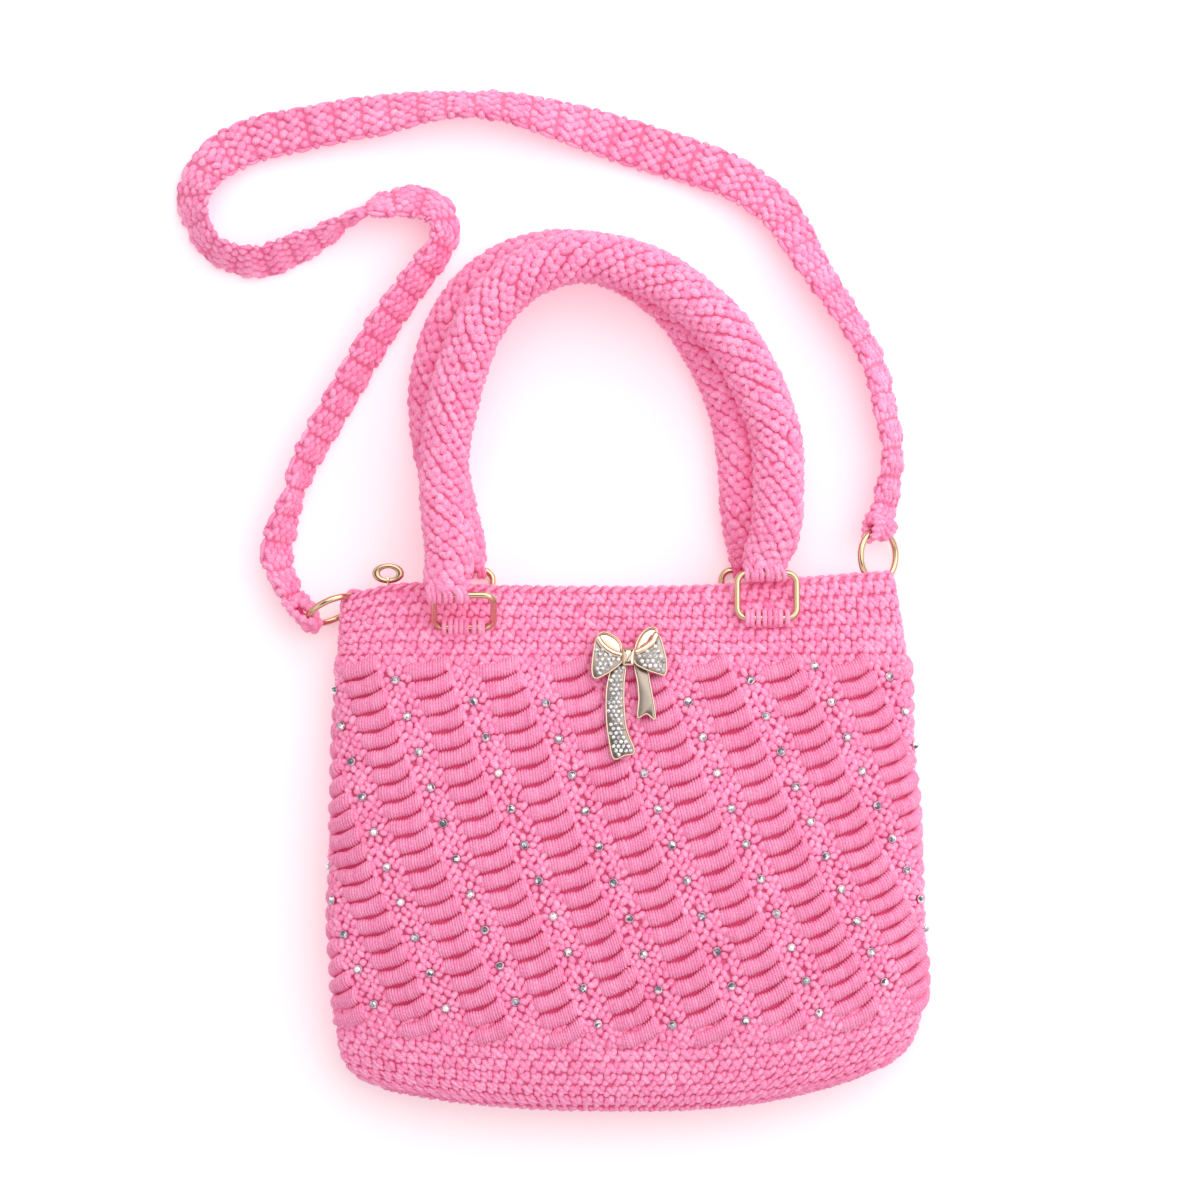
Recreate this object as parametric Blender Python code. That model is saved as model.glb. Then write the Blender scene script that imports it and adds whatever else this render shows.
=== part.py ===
"""Crocheted handbag that lies on its back with its front up.

Metres. X runs to the bag's right as seen from its front, Y towards the handles and Z up.
The origin is the middle of the flattened back, on the surface that the bag rests on.
"""
import math
from functools import lru_cache

import bmesh
import bpy
from mathutils import Matrix, Vector

# Bag: the wall is knitted, so it is thick
BAG_WIDTH = 0.296
BAG_HEIGHT = 0.258
BAG_DEPTH = 0.050
WALL = 0.0048
SQUARENESS = 3.0
FLOOR_SINK = 0.0003

# Coiled ribs in slanted columns round the bag
COLUMNS = 17
RIBS = 22
RIB_RAISE = 0.0035
KNOT_RAISE = 0.0012
FIRST_COLUMN = -0.027
TWIST = 0.163
RIB_SLOPE = 0.38
RIBS_FROM = 0.14
RIBS_TO = 0.86

# Rings of round wire
WIRE = 0.0032
RING_WIDTH = 0.0322
RING_HEIGHT = 0.0252
RING_CORNER = 0.0065
SIDE_RING = 0.0285
RING_GAP = 0.0004
TAB_WIDTH = 0.021
TAB_LENGTH = 0.0085
SIDE_TAB = 0.0095

# Padded top handles
HANDLE_WIDE = 0.0235
HANDLE_THICK = 0.0235
HANDLE_RISE = 0.155
HANDLE_END = 0.0034

# Flat shoulder strap
STRAP_WIDE = 0.0225
STRAP_THICK = 0.0045
STRAP_REACH = 0.245
STRAP_END = 0.0092

# Fastener in the mouth
TAPE_DOWN = 0.036
TAPE_THICK = 0.0012
TAPE_GAP = 0.0009
CHAIN_WIDE = 0.0030
CHAIN_RAISE = 0.0010
SLIDER_LONG = 0.0090
SLIDER_WIDE = 0.0054
SLIDER_TALL = 0.0030
SMALL_WIRE = 0.0012
PULL_LONG = 0.0157
PULL_WIDE = 0.0098
PULL_BAND = 0.0024
PULL_THICK = 0.0016
LINK_GAP = 0.0004

# Bow charm and crystals
BOW_WIDTH = 0.037
BOW_LENGTH = 0.063
BOW_TOP = 0.080
BOW_THICK = 0.0030
BOW_GAP = 0.0006
CRYSTAL = 0.0048
CRYSTAL_RAISE = 0.0020
CRYSTAL_GAP = 0.0011

# Places across the mouth where the tape bends; the slider sits on its first stretch
TAPE_BENDS = (-0.88, -0.78, -0.55, -0.30, 0.00, 0.30, 0.55, 0.75, 0.88)
SLIDER_ACROSS = (TAPE_BENDS[0] + TAPE_BENDS[1]) / 2

HALF_WIDTH = BAG_WIDTH / 2
TURN_STEPS = 360
RIM_Y = BAG_HEIGHT / 2

# Level rows of the bag's wall: down is a share of the height from the rim, half and shift are
# shares of half the width, back and front are shares of the depth, and the ends of a row rise by
# the lifts, shares of the height
#    down,  half,  shift,   back,  front, lift left, lift right
ROWS = (
    (0.000, 0.914, -0.033, 0.140, 0.560, 0.000, 0.000),
    (0.130, 0.939, -0.017, 0.060, 0.740, 0.000, 0.000),
    (0.250, 0.944, -0.010, 0.000, 0.860, 0.000, 0.002),
    (0.500, 0.964, -0.008, 0.000, 0.930, 0.006, 0.016),
    (0.700, 0.972, 0.002, 0.000, 0.930, 0.020, 0.042),
    (0.860, 0.967, 0.008, 0.020, 0.850, 0.034, 0.064),
    (0.930, 0.945, 0.000, 0.060, 0.760, 0.038, 0.068),
    (0.975, 0.886, -0.005, 0.130, 0.660, 0.038, 0.068),
    (1.000, 0.800, -0.002, 0.220, 0.540, 0.038, 0.068),
)
DOWN, HALF, SHIFT, BACK, FRONT, LIFT_LEFT, LIFT_RIGHT = range(7)
CORNER_BEND = 2.5

# Wave of the rim: across is -1 at the left end and 1 at the right, lift a share of the height
RIM_WAVE = ((-1.00, -0.021), (-0.80, 0.004), (-0.40, 0.000), (0.27, 0.000), (0.63, 0.015),
            (1.00, 0.030))

# Strings of crystals: slanted column, first rib beside a crystal, number of crystals
STRINGS = ((-1, 12.2, 5), (0, 1.8, 10), (1, 1.2, 10), (2, 2.4, 10), (3, 2.5, 10), (4, 6.5, 8),
           (5, 2.4, 10), (6, 1.2, 10), (7, 0.4, 9), (8, 1.0, 5))
RIBS_PER_CRYSTAL = 2.05

# Handle rings: across and below the rim as shares of half the width and of the height, height
# above the floor, tilt about the bar and the handle's place along the bar, a share of its width
RINGS = {
    "handle_ring_front_left": (-0.536, 0.048, 0.0410, 45.0, -0.25),
    "handle_ring_front_right": (0.460, 0.019, 0.0338, -7.0, -0.06),
    "handle_ring_back_left": (-0.546, 0.013, 0.0029, 0.0, 0.0),
    "handle_ring_back_right": (0.414, 0.013, 0.0029, 0.0, 0.0),
}
ACROSS, BELOW, LEVEL, TILT, SEAT = range(5)

# Side rings: across, below, level as above, then the turn of the ring's long axis and the tilt
SIDE_RINGS = {
    "side_ring_left": (-0.980, 0.046, 0.0150, 25.0, 69.0),
    "side_ring_right": (0.834, -0.057, 0.0150, 90.0, 44.0),
}

# Handles: along is a share of the way between the two ring bars, rise a share of HANDLE_RISE,
# level and the last two columns are shares of the handle's thickness and width
#   along, rise, level, wide, thick
FRONT_HANDLE = (
    (0.00, 0.00, 2.05, 0.80, 0.36),
    (0.00, 0.06, 1.96, 0.92, 0.62),
    (0.01, 0.14, 1.80, 1.00, 0.96),
    (-0.01, 0.31, 1.60, 0.96, 1.00),
    (-0.01, 0.43, 1.56, 0.96, 1.00),
    (0.01, 0.57, 1.56, 1.00, 1.00),
    (0.05, 0.72, 1.56, 1.02, 1.00),
    (0.11, 0.86, 1.56, 1.02, 1.00),
    (0.23, 0.98, 1.56, 1.02, 1.00),
    (0.40, 1.03, 1.56, 1.00, 1.00),
    (0.57, 1.00, 1.56, 1.00, 1.00),
    (0.72, 0.92, 1.54, 1.00, 1.00),
    (0.88, 0.77, 1.47, 1.02, 1.00),
    (0.98, 0.60, 1.36, 1.02, 1.00),
    (1.04, 0.43, 1.30, 1.02, 1.00),
    (1.05, 0.27, 1.27, 1.00, 1.00),
    (1.04, 0.13, 1.26, 0.98, 0.94),
    (1.01, 0.05, 1.27, 0.90, 0.60),
    (1.00, 0.00, 1.27, 0.82, 0.36),
)
BACK_HANDLE = (
    (0.00, 0.00, 0.18, 0.80, 0.36),
    (0.00, 0.06, 0.31, 0.92, 0.60),
    (-0.03, 0.16, 0.48, 1.00, 0.94),
    (-0.06, 0.29, 0.51, 1.00, 1.00),
    (-0.09, 0.42, 0.51, 1.00, 1.00),
    (-0.10, 0.55, 0.51, 1.00, 1.00),
    (-0.08, 0.67, 0.51, 1.00, 1.00),
    (-0.03, 0.79, 0.51, 1.00, 1.00),
    (0.06, 0.90, 0.51, 1.00, 1.00),
    (0.18, 0.97, 0.51, 1.00, 1.00),
    (0.32, 1.00, 0.51, 1.00, 1.00),
    (0.46, 0.99, 0.51, 1.00, 1.00),
    (0.60, 0.94, 0.51, 1.00, 1.00),
    (0.75, 0.83, 0.51, 1.00, 1.00),
    (0.87, 0.66, 0.51, 1.00, 1.00),
    (0.94, 0.50, 0.51, 1.00, 1.00),
    (0.97, 0.33, 0.51, 1.00, 1.00),
    (0.98, 0.18, 0.48, 1.00, 0.94),
    (1.00, 0.06, 0.31, 0.92, 0.60),
    (1.00, 0.00, 0.18, 0.80, 0.36),
)

# Shoulder strap: along is a share of the way from the left side ring to the right one, reach a
# share of STRAP_REACH, lean the angle of the band from flat, and lift its height above the
# surface, a share of its width
#   along, reach, lean, lift
STRAP_ROUTE = (
    (-0.060, 0.012, 69, 0.12),
    (-0.084, 0.059, 60, 0.06),
    (-0.102, 0.121, 54, 0.0),
    (-0.088, 0.189, 60, 0.0),
    (-0.071, 0.238, 74, 0.0),
    (-0.057, 0.286, 64, 0.0),
    (-0.029, 0.343, 58, 0.0),
    (0.007, 0.409, 55, 0.0),
    (0.044, 0.475, 54, 0.0),
    (0.080, 0.541, 54, 0.0),
    (0.117, 0.597, 54, 0.0),
    (0.144, 0.634, 56, 0.0),
    (0.172, 0.671, 58, 0.0),
    (0.199, 0.709, 61, 0.0),
    (0.207, 0.745, 58, 0.0),
    (0.193, 0.782, 50, 0.0),
    (0.153, 0.803, 46, 0.0),
    (0.099, 0.803, 58, 0.0),
    (0.035, 0.784, 90, 0.0),
    (-0.024, 0.749, 112, 0.0),
    (-0.066, 0.733, 122, 0.0),
    (-0.126, 0.714, 125, 0.0),
    (-0.175, 0.723, 123, 0.0),
    (-0.221, 0.754, 118, 0.0),
    (-0.248, 0.807, 122, 0.0),
    (-0.255, 0.862, 138, 0.0),
    (-0.228, 0.915, 154, 0.0),
    (-0.184, 0.947, 166, 0.0),
    (-0.130, 0.965, 167, 0.0),
    (-0.057, 0.974, 164, 0.0),
    (0.016, 0.982, 160, 0.0),
    (0.089, 0.986, 153, 0.0),
    (0.162, 0.992, 136, 0.0),
    (0.235, 0.989, 124, 0.0),
    (0.308, 0.979, 130, 0.0),
    (0.381, 0.953, 142, 0.0),
    (0.491, 0.907, 165, 0.0),
    (0.564, 0.873, 172, 0.0),
    (0.637, 0.841, 172, 0.0),
    (0.692, 0.815, 166, 0.0),
    (0.746, 0.783, 160, 0.0),
    (0.792, 0.744, 154, 0.0),
    (0.828, 0.701, 149, 0.0),
    (0.856, 0.648, 140, 0.0),
    (0.883, 0.595, 131, 0.0),
    (0.920, 0.531, 125, 0.0),
    (0.956, 0.467, 121, 0.0),
    (0.987, 0.403, 118, 0.0),
    (1.005, 0.341, 117, 0.0),
    (1.016, 0.280, 118, 0.0),
    (1.026, 0.229, 113, 0.0),
    (1.026, 0.179, 114, 0.0),
    (1.018, 0.130, 120, 0.04),
    (1.009, 0.085, 128, 0.12),
    (1.000, 0.052, 136, 0.24),
)
STRAP_SECTIONS = 74

# Bow charm: across is a share of its width from the knot, down a share of its length
LEFT_LOOP = ((-0.07, 0.27), (-0.18, 0.32), (-0.29, 0.36), (-0.42, 0.37), (-0.48, 0.22),
             (-0.42, 0.04), (-0.32, 0.02), (-0.21, 0.06), (-0.07, 0.16))
RIGHT_LOOP = ((0.07, 0.16), (0.16, 0.07), (0.30, 0.00), (0.40, 0.01), (0.46, 0.15), (0.51, 0.28),
              (0.48, 0.34), (0.32, 0.33), (0.18, 0.30), (0.07, 0.27))
LEFT_TAIL = ((-0.20, 0.27), (-0.03, 0.27), (-0.05, 0.58), (0.08, 0.94), (-0.19, 1.00),
             (-0.29, 0.58))
RIGHT_TAIL = ((0.07, 0.27), (0.23, 0.27), (0.30, 0.48), (0.35, 0.69), (0.21, 0.65), (0.11, 0.67),
              (0.13, 0.48))
KNOT = ((-0.09, 0.13), (0.09, 0.13), (0.09, 0.29), (-0.09, 0.29))


def clear_scene():
    for item in list(bpy.data.objects):
        bpy.data.objects.remove(item, do_unlink=True)


def material(name, color, roughness, metallic=0.0):
    found = bpy.data.materials.new(name)
    found.use_nodes = True
    shader = found.node_tree.nodes["Principled BSDF"]
    shader.inputs["Base Color"].default_value = (*color, 1.0)
    shader.inputs["Roughness"].default_value = roughness
    shader.inputs["Metallic"].default_value = metallic
    return found


def add_object(name, shape, finish, smooth=True):
    """Turn a bmesh into a named object whose faces point out."""
    bmesh.ops.recalc_face_normals(shape, faces=shape.faces)
    mesh = bpy.data.meshes.new(name)
    shape.to_mesh(mesh)
    shape.free()
    if smooth:
        mesh.shade_smooth()
        mesh.set_sharp_from_angle(angle=math.radians(40))
    mesh.materials.append(finish)
    item = bpy.data.objects.new(name, mesh)
    bpy.context.collection.objects.link(item)
    return item


def as_guide(item):
    item.hide_render = True
    item.display_type = "WIRE"
    return item


def add_boolean(item, tool, operation):
    step = item.modifiers.new(operation.title(), "BOOLEAN")
    step.operation = operation
    step.object = tool


def read_rows(rows, key, column):
    """Value of one column at a key, on a smooth curve through the rows."""
    last = len(rows) - 1
    spot = 0
    while spot < last - 1 and key > rows[spot + 1][0]:
        spot += 1
    low, high = rows[spot], rows[spot + 1]
    before, after = rows[max(spot - 1, 0)], rows[min(spot + 2, last)]
    span = high[0] - low[0]
    share = min(max((key - low[0]) / span, 0.0), 1.0)
    slope_low = (high[column] - before[column]) / (high[0] - before[0]) * span
    slope_high = (after[column] - low[column]) / (after[0] - low[0]) * span
    square, cube = share ** 2, share ** 3
    return (low[column] * (2 * cube - 3 * square + 1) + slope_low * (cube - 2 * square + share)
            + high[column] * (3 * square - 2 * cube) + slope_high * (cube - square))


def smooth_stations(stations, count):
    """Even steps along a Catmull-Rom curve; the first three values of a station are its place."""
    fine = []
    steps = 12
    for spot in range(len(stations) - 1):
        four = [stations[min(max(spot + shift, 0), len(stations) - 1)] for shift in (-1, 0, 1, 2)]
        for step in range(steps):
            u = step / steps
            fine.append([0.5 * (2 * b + (c - a) * u + (2 * a - 5 * b + 4 * c - d) * u ** 2
                                + (3 * b - a - 3 * c + d) * u ** 3)
                         for a, b, c, d in zip(*four)])
    fine.append(list(stations[-1]))
    lengths = [0.0]
    for before, after in zip(fine, fine[1:]):
        lengths.append(lengths[-1] + math.dist(before[:3], after[:3]))
    even = []
    spot = 0
    for step in range(count):
        target = lengths[-1] * step / (count - 1)
        while spot < len(fine) - 2 and lengths[spot + 1] < target:
            spot += 1
        u = (target - lengths[spot]) / max(lengths[spot + 1] - lengths[spot], 1e-9)
        even.append([a + (b - a) * min(u, 1.0) for a, b in zip(fine[spot], fine[spot + 1])])
    return even


def loft(rings, closed=False):
    """Join rings of points into one closed skin, with end caps unless the rings close."""
    shape = bmesh.new()
    placed = [[shape.verts.new(point) for point in ring] for ring in rings]
    pairs = list(zip(placed, placed[1:]))
    if closed:
        pairs.append((placed[-1], placed[0]))
    for first, second in pairs:
        for spot in range(len(first)):
            after = (spot + 1) % len(first)
            shape.faces.new((first[spot], first[after], second[after], second[spot]))
    if not closed:
        shape.faces.new(placed[0])
        shape.faces.new(placed[-1])
    return shape


def joined(shapes):
    """Move several shapes into one bmesh."""
    whole = bmesh.new()
    for shape in shapes:
        mesh = bpy.data.meshes.new("joined")
        shape.to_mesh(mesh)
        shape.free()
        whole.from_mesh(mesh)
        bpy.data.meshes.remove(mesh)
    return whole


def block(center, size, bevel):
    """A block with its edges cut back."""
    shape = bmesh.new()
    bmesh.ops.create_cube(shape, size=1.0)
    bmesh.ops.scale(shape, vec=size, verts=shape.verts)
    bmesh.ops.bevel(shape, geom=shape.edges, offset=bevel, segments=1, affect="EDGES")
    bmesh.ops.translate(shape, vec=center, verts=shape.verts)
    return shape


def ring_outline(width, height, corner, steps):
    """Middle line of a ring, a rectangle with round corners in the XY plane."""
    points = []
    for quarter, (side_x, side_y) in enumerate(((1, 1), (-1, 1), (-1, -1), (1, -1))):
        for step in range(steps):
            angle = math.radians(90 * (quarter + step / (steps - 1)))
            points.append(Vector((side_x * (width / 2 - corner) + corner * math.cos(angle),
                                  side_y * (height / 2 - corner) + corner * math.sin(angle), 0)))
    return points


def circle_outline(diameter, steps):
    turns = [math.tau * step / steps for step in range(steps)]
    return [Vector((math.cos(turn), math.sin(turn), 0)) * diameter / 2 for turn in turns]


def wire_loop(outline, thickness, sides, place):
    """Round wire along a flat closed outline."""
    rings = []
    for spot, point in enumerate(outline):
        along = outline[(spot + 1) % len(outline)] - outline[spot - 1]
        out = Vector((along.y, -along.x, 0)).normalized()
        ring = []
        for side in range(sides):
            angle = math.tau * (side + 0.5) / sides
            offset = out * math.cos(angle) + Vector((0, 0, 1)) * math.sin(angle)
            ring.append(place @ (point + offset * thickness / 2))
        rings.append(ring)
    return loft(rings, closed=True)


@lru_cache(maxsize=None)
def section(down, inset):
    """Half width, middle, back and front of the wall at a level, in metres."""
    half = read_rows(ROWS, down, HALF) * HALF_WIDTH - inset
    middle = read_rows(ROWS, down, SHIFT) * HALF_WIDTH
    back = read_rows(ROWS, down, BACK) * BAG_DEPTH - FLOOR_SINK + inset
    front = read_rows(ROWS, down, FRONT) * BAG_DEPTH - inset
    return half, middle, back, front


def curved(value, power):
    return math.copysign(abs(value) ** power, value)


@lru_cache(maxsize=None)
def turn_lengths(down, inset):
    """Length from the left end round the front, for even steps of the turn."""
    half, _, back, front = section(down, inset)
    thick = (front - back) / 2
    lengths = [0.0]
    last = None
    for step in range(TURN_STEPS + 1):
        angle = math.pi - math.tau * step / TURN_STEPS
        point = (half * curved(math.cos(angle), 2 / SQUARENESS),
                 thick * curved(math.sin(angle), 2 / SQUARENESS))
        if last:
            lengths.append(lengths[-1] + math.dist(point, last))
        last = point
    return lengths


def turn_angle(down, share, inset):
    """Turn at a share of the way round the wall, from the left end over the front."""
    lengths = turn_lengths(down, inset)
    target = (share % 1.0) * lengths[-1]
    low, high = 0, TURN_STEPS
    while high - low > 1:
        middle = (low + high) // 2
        if lengths[middle] <= target:
            low = middle
        else:
            high = middle
    part = (target - lengths[low]) / (lengths[high] - lengths[low])
    return math.pi - math.tau * (low + part) / TURN_STEPS


def row_y(down, across):
    """Y of a level row of the wall at -1 to 1 across the bag."""
    lift = read_rows(ROWS, down, LIFT_LEFT if across < 0 else LIFT_RIGHT)
    corner = lift * abs(across) ** CORNER_BEND
    rim = read_rows(RIM_WAVE, across, 1) * max(0.0, 1.0 - down / RIBS_FROM)
    return BAG_HEIGHT * (0.5 - down + corner + rim)


def wall_point(down, share, height=0.0, inset=0.0, slide=0.0):
    """Point on the bag's wall and the way out of it; slide moves it along Y."""
    half, middle, back, front = section(down, inset)
    thick = (front - back) / 2
    angle = turn_angle(down, share, inset)
    cosine, sine = math.cos(angle), math.sin(angle)
    x = half * curved(cosine, 2 / SQUARENESS)
    z = thick * curved(sine, 2 / SQUARENESS)
    out = Vector((curved(cosine, 2 - 2 / SQUARENESS) / half, 0,
                  curved(sine, 2 - 2 / SQUARENESS) / thick)).normalized()
    y = row_y(down, x / half) + slide
    return Vector((middle + x, y, (front + back) / 2 + z)) + out * height, out


def wall_level(down, across, inset, side):
    """Height of the wall's front (side 1) or back (side -1) at -1 to 1 across."""
    _, _, back, front = section(down, inset)
    bulge = (1 - min(abs(across), 1.0) ** SQUARENESS) ** (1 / SQUARENESS)
    return (front + back) / 2 + side * bulge * (front - back) / 2


def front_level(x, y):
    """Height of the ribs' crests on the front, near a place on it."""
    down = 0.5 - y / BAG_HEIGHT
    half, middle, _, _ = section(down, 0.0)
    return wall_level(down, (x - middle) / half, 0.0, 1) + RIB_RAISE


def column_share(column, down):
    return FIRST_COLUMN + column / COLUMNS + TWIST * down


def rib_row(step, part):
    """Raise and slide of a wall point: step counts half ribs, part is 0 at a column's knots."""
    edge = min(1.0, step / 3, (2 * RIBS - step) / 3)
    rib = step % 2
    if part == 0:
        return KNOT_RAISE * (0.6 + 0.4 * rib) * edge, 0.0
    lean = (part - 1.5) / 3 * BAG_WIDTH * 2.1 / COLUMNS * RIB_SLOPE
    return RIB_RAISE * rib * min(1.0, 2 * edge), lean * edge


def wall_row(down, step=None, inset=0.0):
    """Points round the wall at one level, three to each slanted column."""
    points = []
    for column in range(COLUMNS):
        for part in range(3):
            raise_by, slide = rib_row(step, part) if step is not None else (0.0, 0.0)
            share = column_share(column + part / 3, down)
            point, _ = wall_point(down, share, raise_by, inset, slide)
            point.z = max(point.z, inset)
            points.append(point)
    return points


def bag_shape():
    """Outer skin with its ribs, inner skin, rim and base as one closed body."""
    span = (RIBS_TO - RIBS_FROM) / (2 * RIBS)
    outer = [wall_row(0.0), wall_row(RIBS_FROM / 2)]
    outer += [wall_row(RIBS_FROM + step * span, step) for step in range(2 * RIBS + 1)]
    outer += [wall_row(down) for down in (0.91, 0.96, 0.985, 1.0)]
    floor = 1.0 - 1.6 * WALL / BAG_HEIGHT
    inner = [wall_row(down, None, WALL) for down in (0.0, TAPE_DOWN, 0.25, 0.60, 0.88, floor)]
    return loft(list(reversed(outer)) + inner)


def bar_place(spec, end):
    """Middle of a handle ring's upper (end 1) or lower (end -1) bar."""
    return ring_matrix(spec) @ Vector((0, end * (RING_HEIGHT - WIRE) / 2, 0))


def ring_matrix(spec):
    place = Vector((spec[ACROSS] * HALF_WIDTH, RIM_Y - spec[BELOW] * BAG_HEIGHT, spec[LEVEL]))
    return Matrix.Translation(place) @ Matrix.Rotation(math.radians(spec[TILT]), 4, "X")


def side_ring_matrix(spec):
    place = Vector((spec[0] * HALF_WIDTH, RIM_Y - spec[1] * BAG_HEIGHT, spec[2]))
    return (Matrix.Translation(place) @ Matrix.Rotation(math.radians(spec[3]), 4, "Z")
            @ Matrix.Rotation(math.radians(spec[4]), 4, "X"))


def handle_ring_shape(spec, wire):
    outline = ring_outline(RING_WIDTH - WIRE, RING_HEIGHT - WIRE, RING_CORNER - WIRE / 2, 4)
    return wire_loop(outline, wire, 5, ring_matrix(spec))


def side_ring_shape(spec, wire):
    return wire_loop(circle_outline(SIDE_RING - WIRE, 16), wire, 5, side_ring_matrix(spec))


def ring_cutter(name, pieces):
    """Clearance round the wires of some rings."""
    wide = WIRE + 2 * RING_GAP
    shapes = [handle_ring_shape(RINGS[piece], wide) for piece in pieces if piece in RINGS]
    shapes += [side_ring_shape(SIDE_RINGS[piece], wide) for piece in pieces
               if piece in SIDE_RINGS]
    return as_guide(add_object(name, joined(shapes), FINISH["metal"], smooth=False))


def tab_shapes():
    """Loops of yarn on the bag that hold the lower bar of each ring."""
    shapes = []
    for name, spec in RINGS.items():
        bar = bar_place(spec, -1)
        down = 0.5 - bar.y / BAG_HEIGHT
        half, middle, _, _ = section(down, 0.0)
        front = "front" in name
        wall = wall_level(down, (bar.x - middle) / half, WALL / 2, 1 if front else -1)
        top = bar.z + WIRE * 1.45 if front else wall
        bottom = wall if front else bar.z - WIRE * 0.80
        shapes.append(block((bar.x, bar.y, (top + bottom) / 2),
                            (TAB_WIDTH, TAB_LENGTH, top - bottom), WIRE * 0.3))
    for name, end in (("side_ring_left", 1), ("side_ring_right", -1)):
        spec = SIDE_RINGS[name]
        hold = side_ring_matrix(spec) @ Vector((end * (SIDE_RING - WIRE) / 2, 0, 0))
        shapes.append(block(hold, (SIDE_TAB,) * 3, SIDE_TAB * 0.15))
    return shapes


def make_bag():
    bag = add_object("bag_body", bag_shape(), FINISH["yarn"])
    tabs = as_guide(add_object("tab_guide", joined(tab_shapes()), FINISH["yarn"], smooth=False))
    add_boolean(bag, tabs, "UNION")
    add_boolean(bag, ring_cutter("bag_ring_cutter", [*RINGS, *SIDE_RINGS]), "DIFFERENCE")


def make_rings():
    for name, spec in RINGS.items():
        add_object(name, handle_ring_shape(spec, WIRE), FINISH["metal"])
    for name, spec in SIDE_RINGS.items():
        add_object(name, side_ring_shape(spec, WIRE), FINISH["metal"])


def sweep(stations, corners):
    """Skin along stations of place, half width, half thickness and lean of the section."""
    places = [Vector(station[:3]) for station in stations]
    rings = []
    for spot, station in enumerate(stations):
        along = (places[min(spot + 1, len(places) - 1)] - places[max(spot - 1, 0)]).normalized()
        flat = Vector((0, 0, 1)).cross(along).normalized()
        wide, thick, lean = station[3:6]
        side = Matrix.Rotation(lean, 3, along) @ flat
        top = along.cross(side)
        rings.append([places[spot] + side * (wide * a) + top * (thick * b) for a, b in corners])
    return loft(rings)


def round_corners(sides):
    turns = [math.tau * (side + 0.5) / sides for side in range(sides)]
    return [(math.cos(turn), math.sin(turn)) for turn in turns]


def handle_stations(rows, left, right):
    """Places of a handle between the seats on its two ring bars."""
    ends = []
    for name in (left, right):
        spec = RINGS[name]
        ends.append(bar_place(spec, 1) + Vector((spec[SEAT] * RING_WIDTH, 0, 0)))
    stations = []
    for along, rise, level, wide, thick in rows:
        place = ends[0].lerp(ends[1], along)
        place.y += rise * HANDLE_RISE
        place.z = level * HANDLE_THICK
        stations.append((*place, wide * HANDLE_WIDE / 2, thick * HANDLE_THICK / 2, 0.0))
    for spot, end in ((0, ends[0]), (-1, ends[1])):
        station = list(stations[spot])
        station[1] -= HANDLE_END
        station[2] = max(end.z, station[4] + LINK_GAP)
        stations[spot] = tuple(station)
    return stations


def make_handles():
    for name, rows in (("handle_front", FRONT_HANDLE), ("handle_back", BACK_HANDLE)):
        side = name.split("_")[1]
        pieces = [f"handle_ring_{side}_{end}" for end in ("left", "right")]
        stations = smooth_stations(handle_stations(rows, *pieces), 27)
        handle = add_object(name, sweep(stations, round_corners(10)), FINISH["yarn"])
        add_boolean(handle, ring_cutter(name + "_cutter", pieces), "DIFFERENCE")


def strap_stations():
    """Places of the band from the left side ring to the right one, leaning on the floor."""
    left = side_ring_matrix(SIDE_RINGS["side_ring_left"]).translation
    right = side_ring_matrix(SIDE_RINGS["side_ring_right"]).translation
    stations = []
    for along, reach, lean, lift in STRAP_ROUTE:
        place = left.lerp(right, along)
        angle = math.radians(lean)
        place.y += reach * STRAP_REACH
        place.z = lift * STRAP_WIDE
        stations.append((*place, STRAP_WIDE / 2, STRAP_THICK / 2, angle))
    stations = smooth_stations(stations, STRAP_SECTIONS)
    for spot, station in enumerate(stations):
        end = min(spot, len(stations) - 1 - spot)
        if end < 2:
            station[4] = STRAP_END / 2
        station[2] += (abs(math.sin(station[5])) * station[3]
                       + abs(math.cos(station[5])) * station[4] + LINK_GAP)
    return stations


def make_strap():
    corners = ((1, 1), (-1, 1), (-1, -1), (1, -1))
    strap = add_object("strap", sweep(strap_stations(), corners), FINISH["yarn"])
    add_boolean(strap, ring_cutter("strap_ring_cutter", list(SIDE_RINGS)), "DIFFERENCE")


def mouth_place(across, up=0.0):
    """Middle of the mouth at a place across, up from the rim."""
    half, middle, back, front = section(0.0, 0.0)
    return Vector((middle + across * half, row_y(0.0, across) + up, (back + front) / 2))


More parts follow.
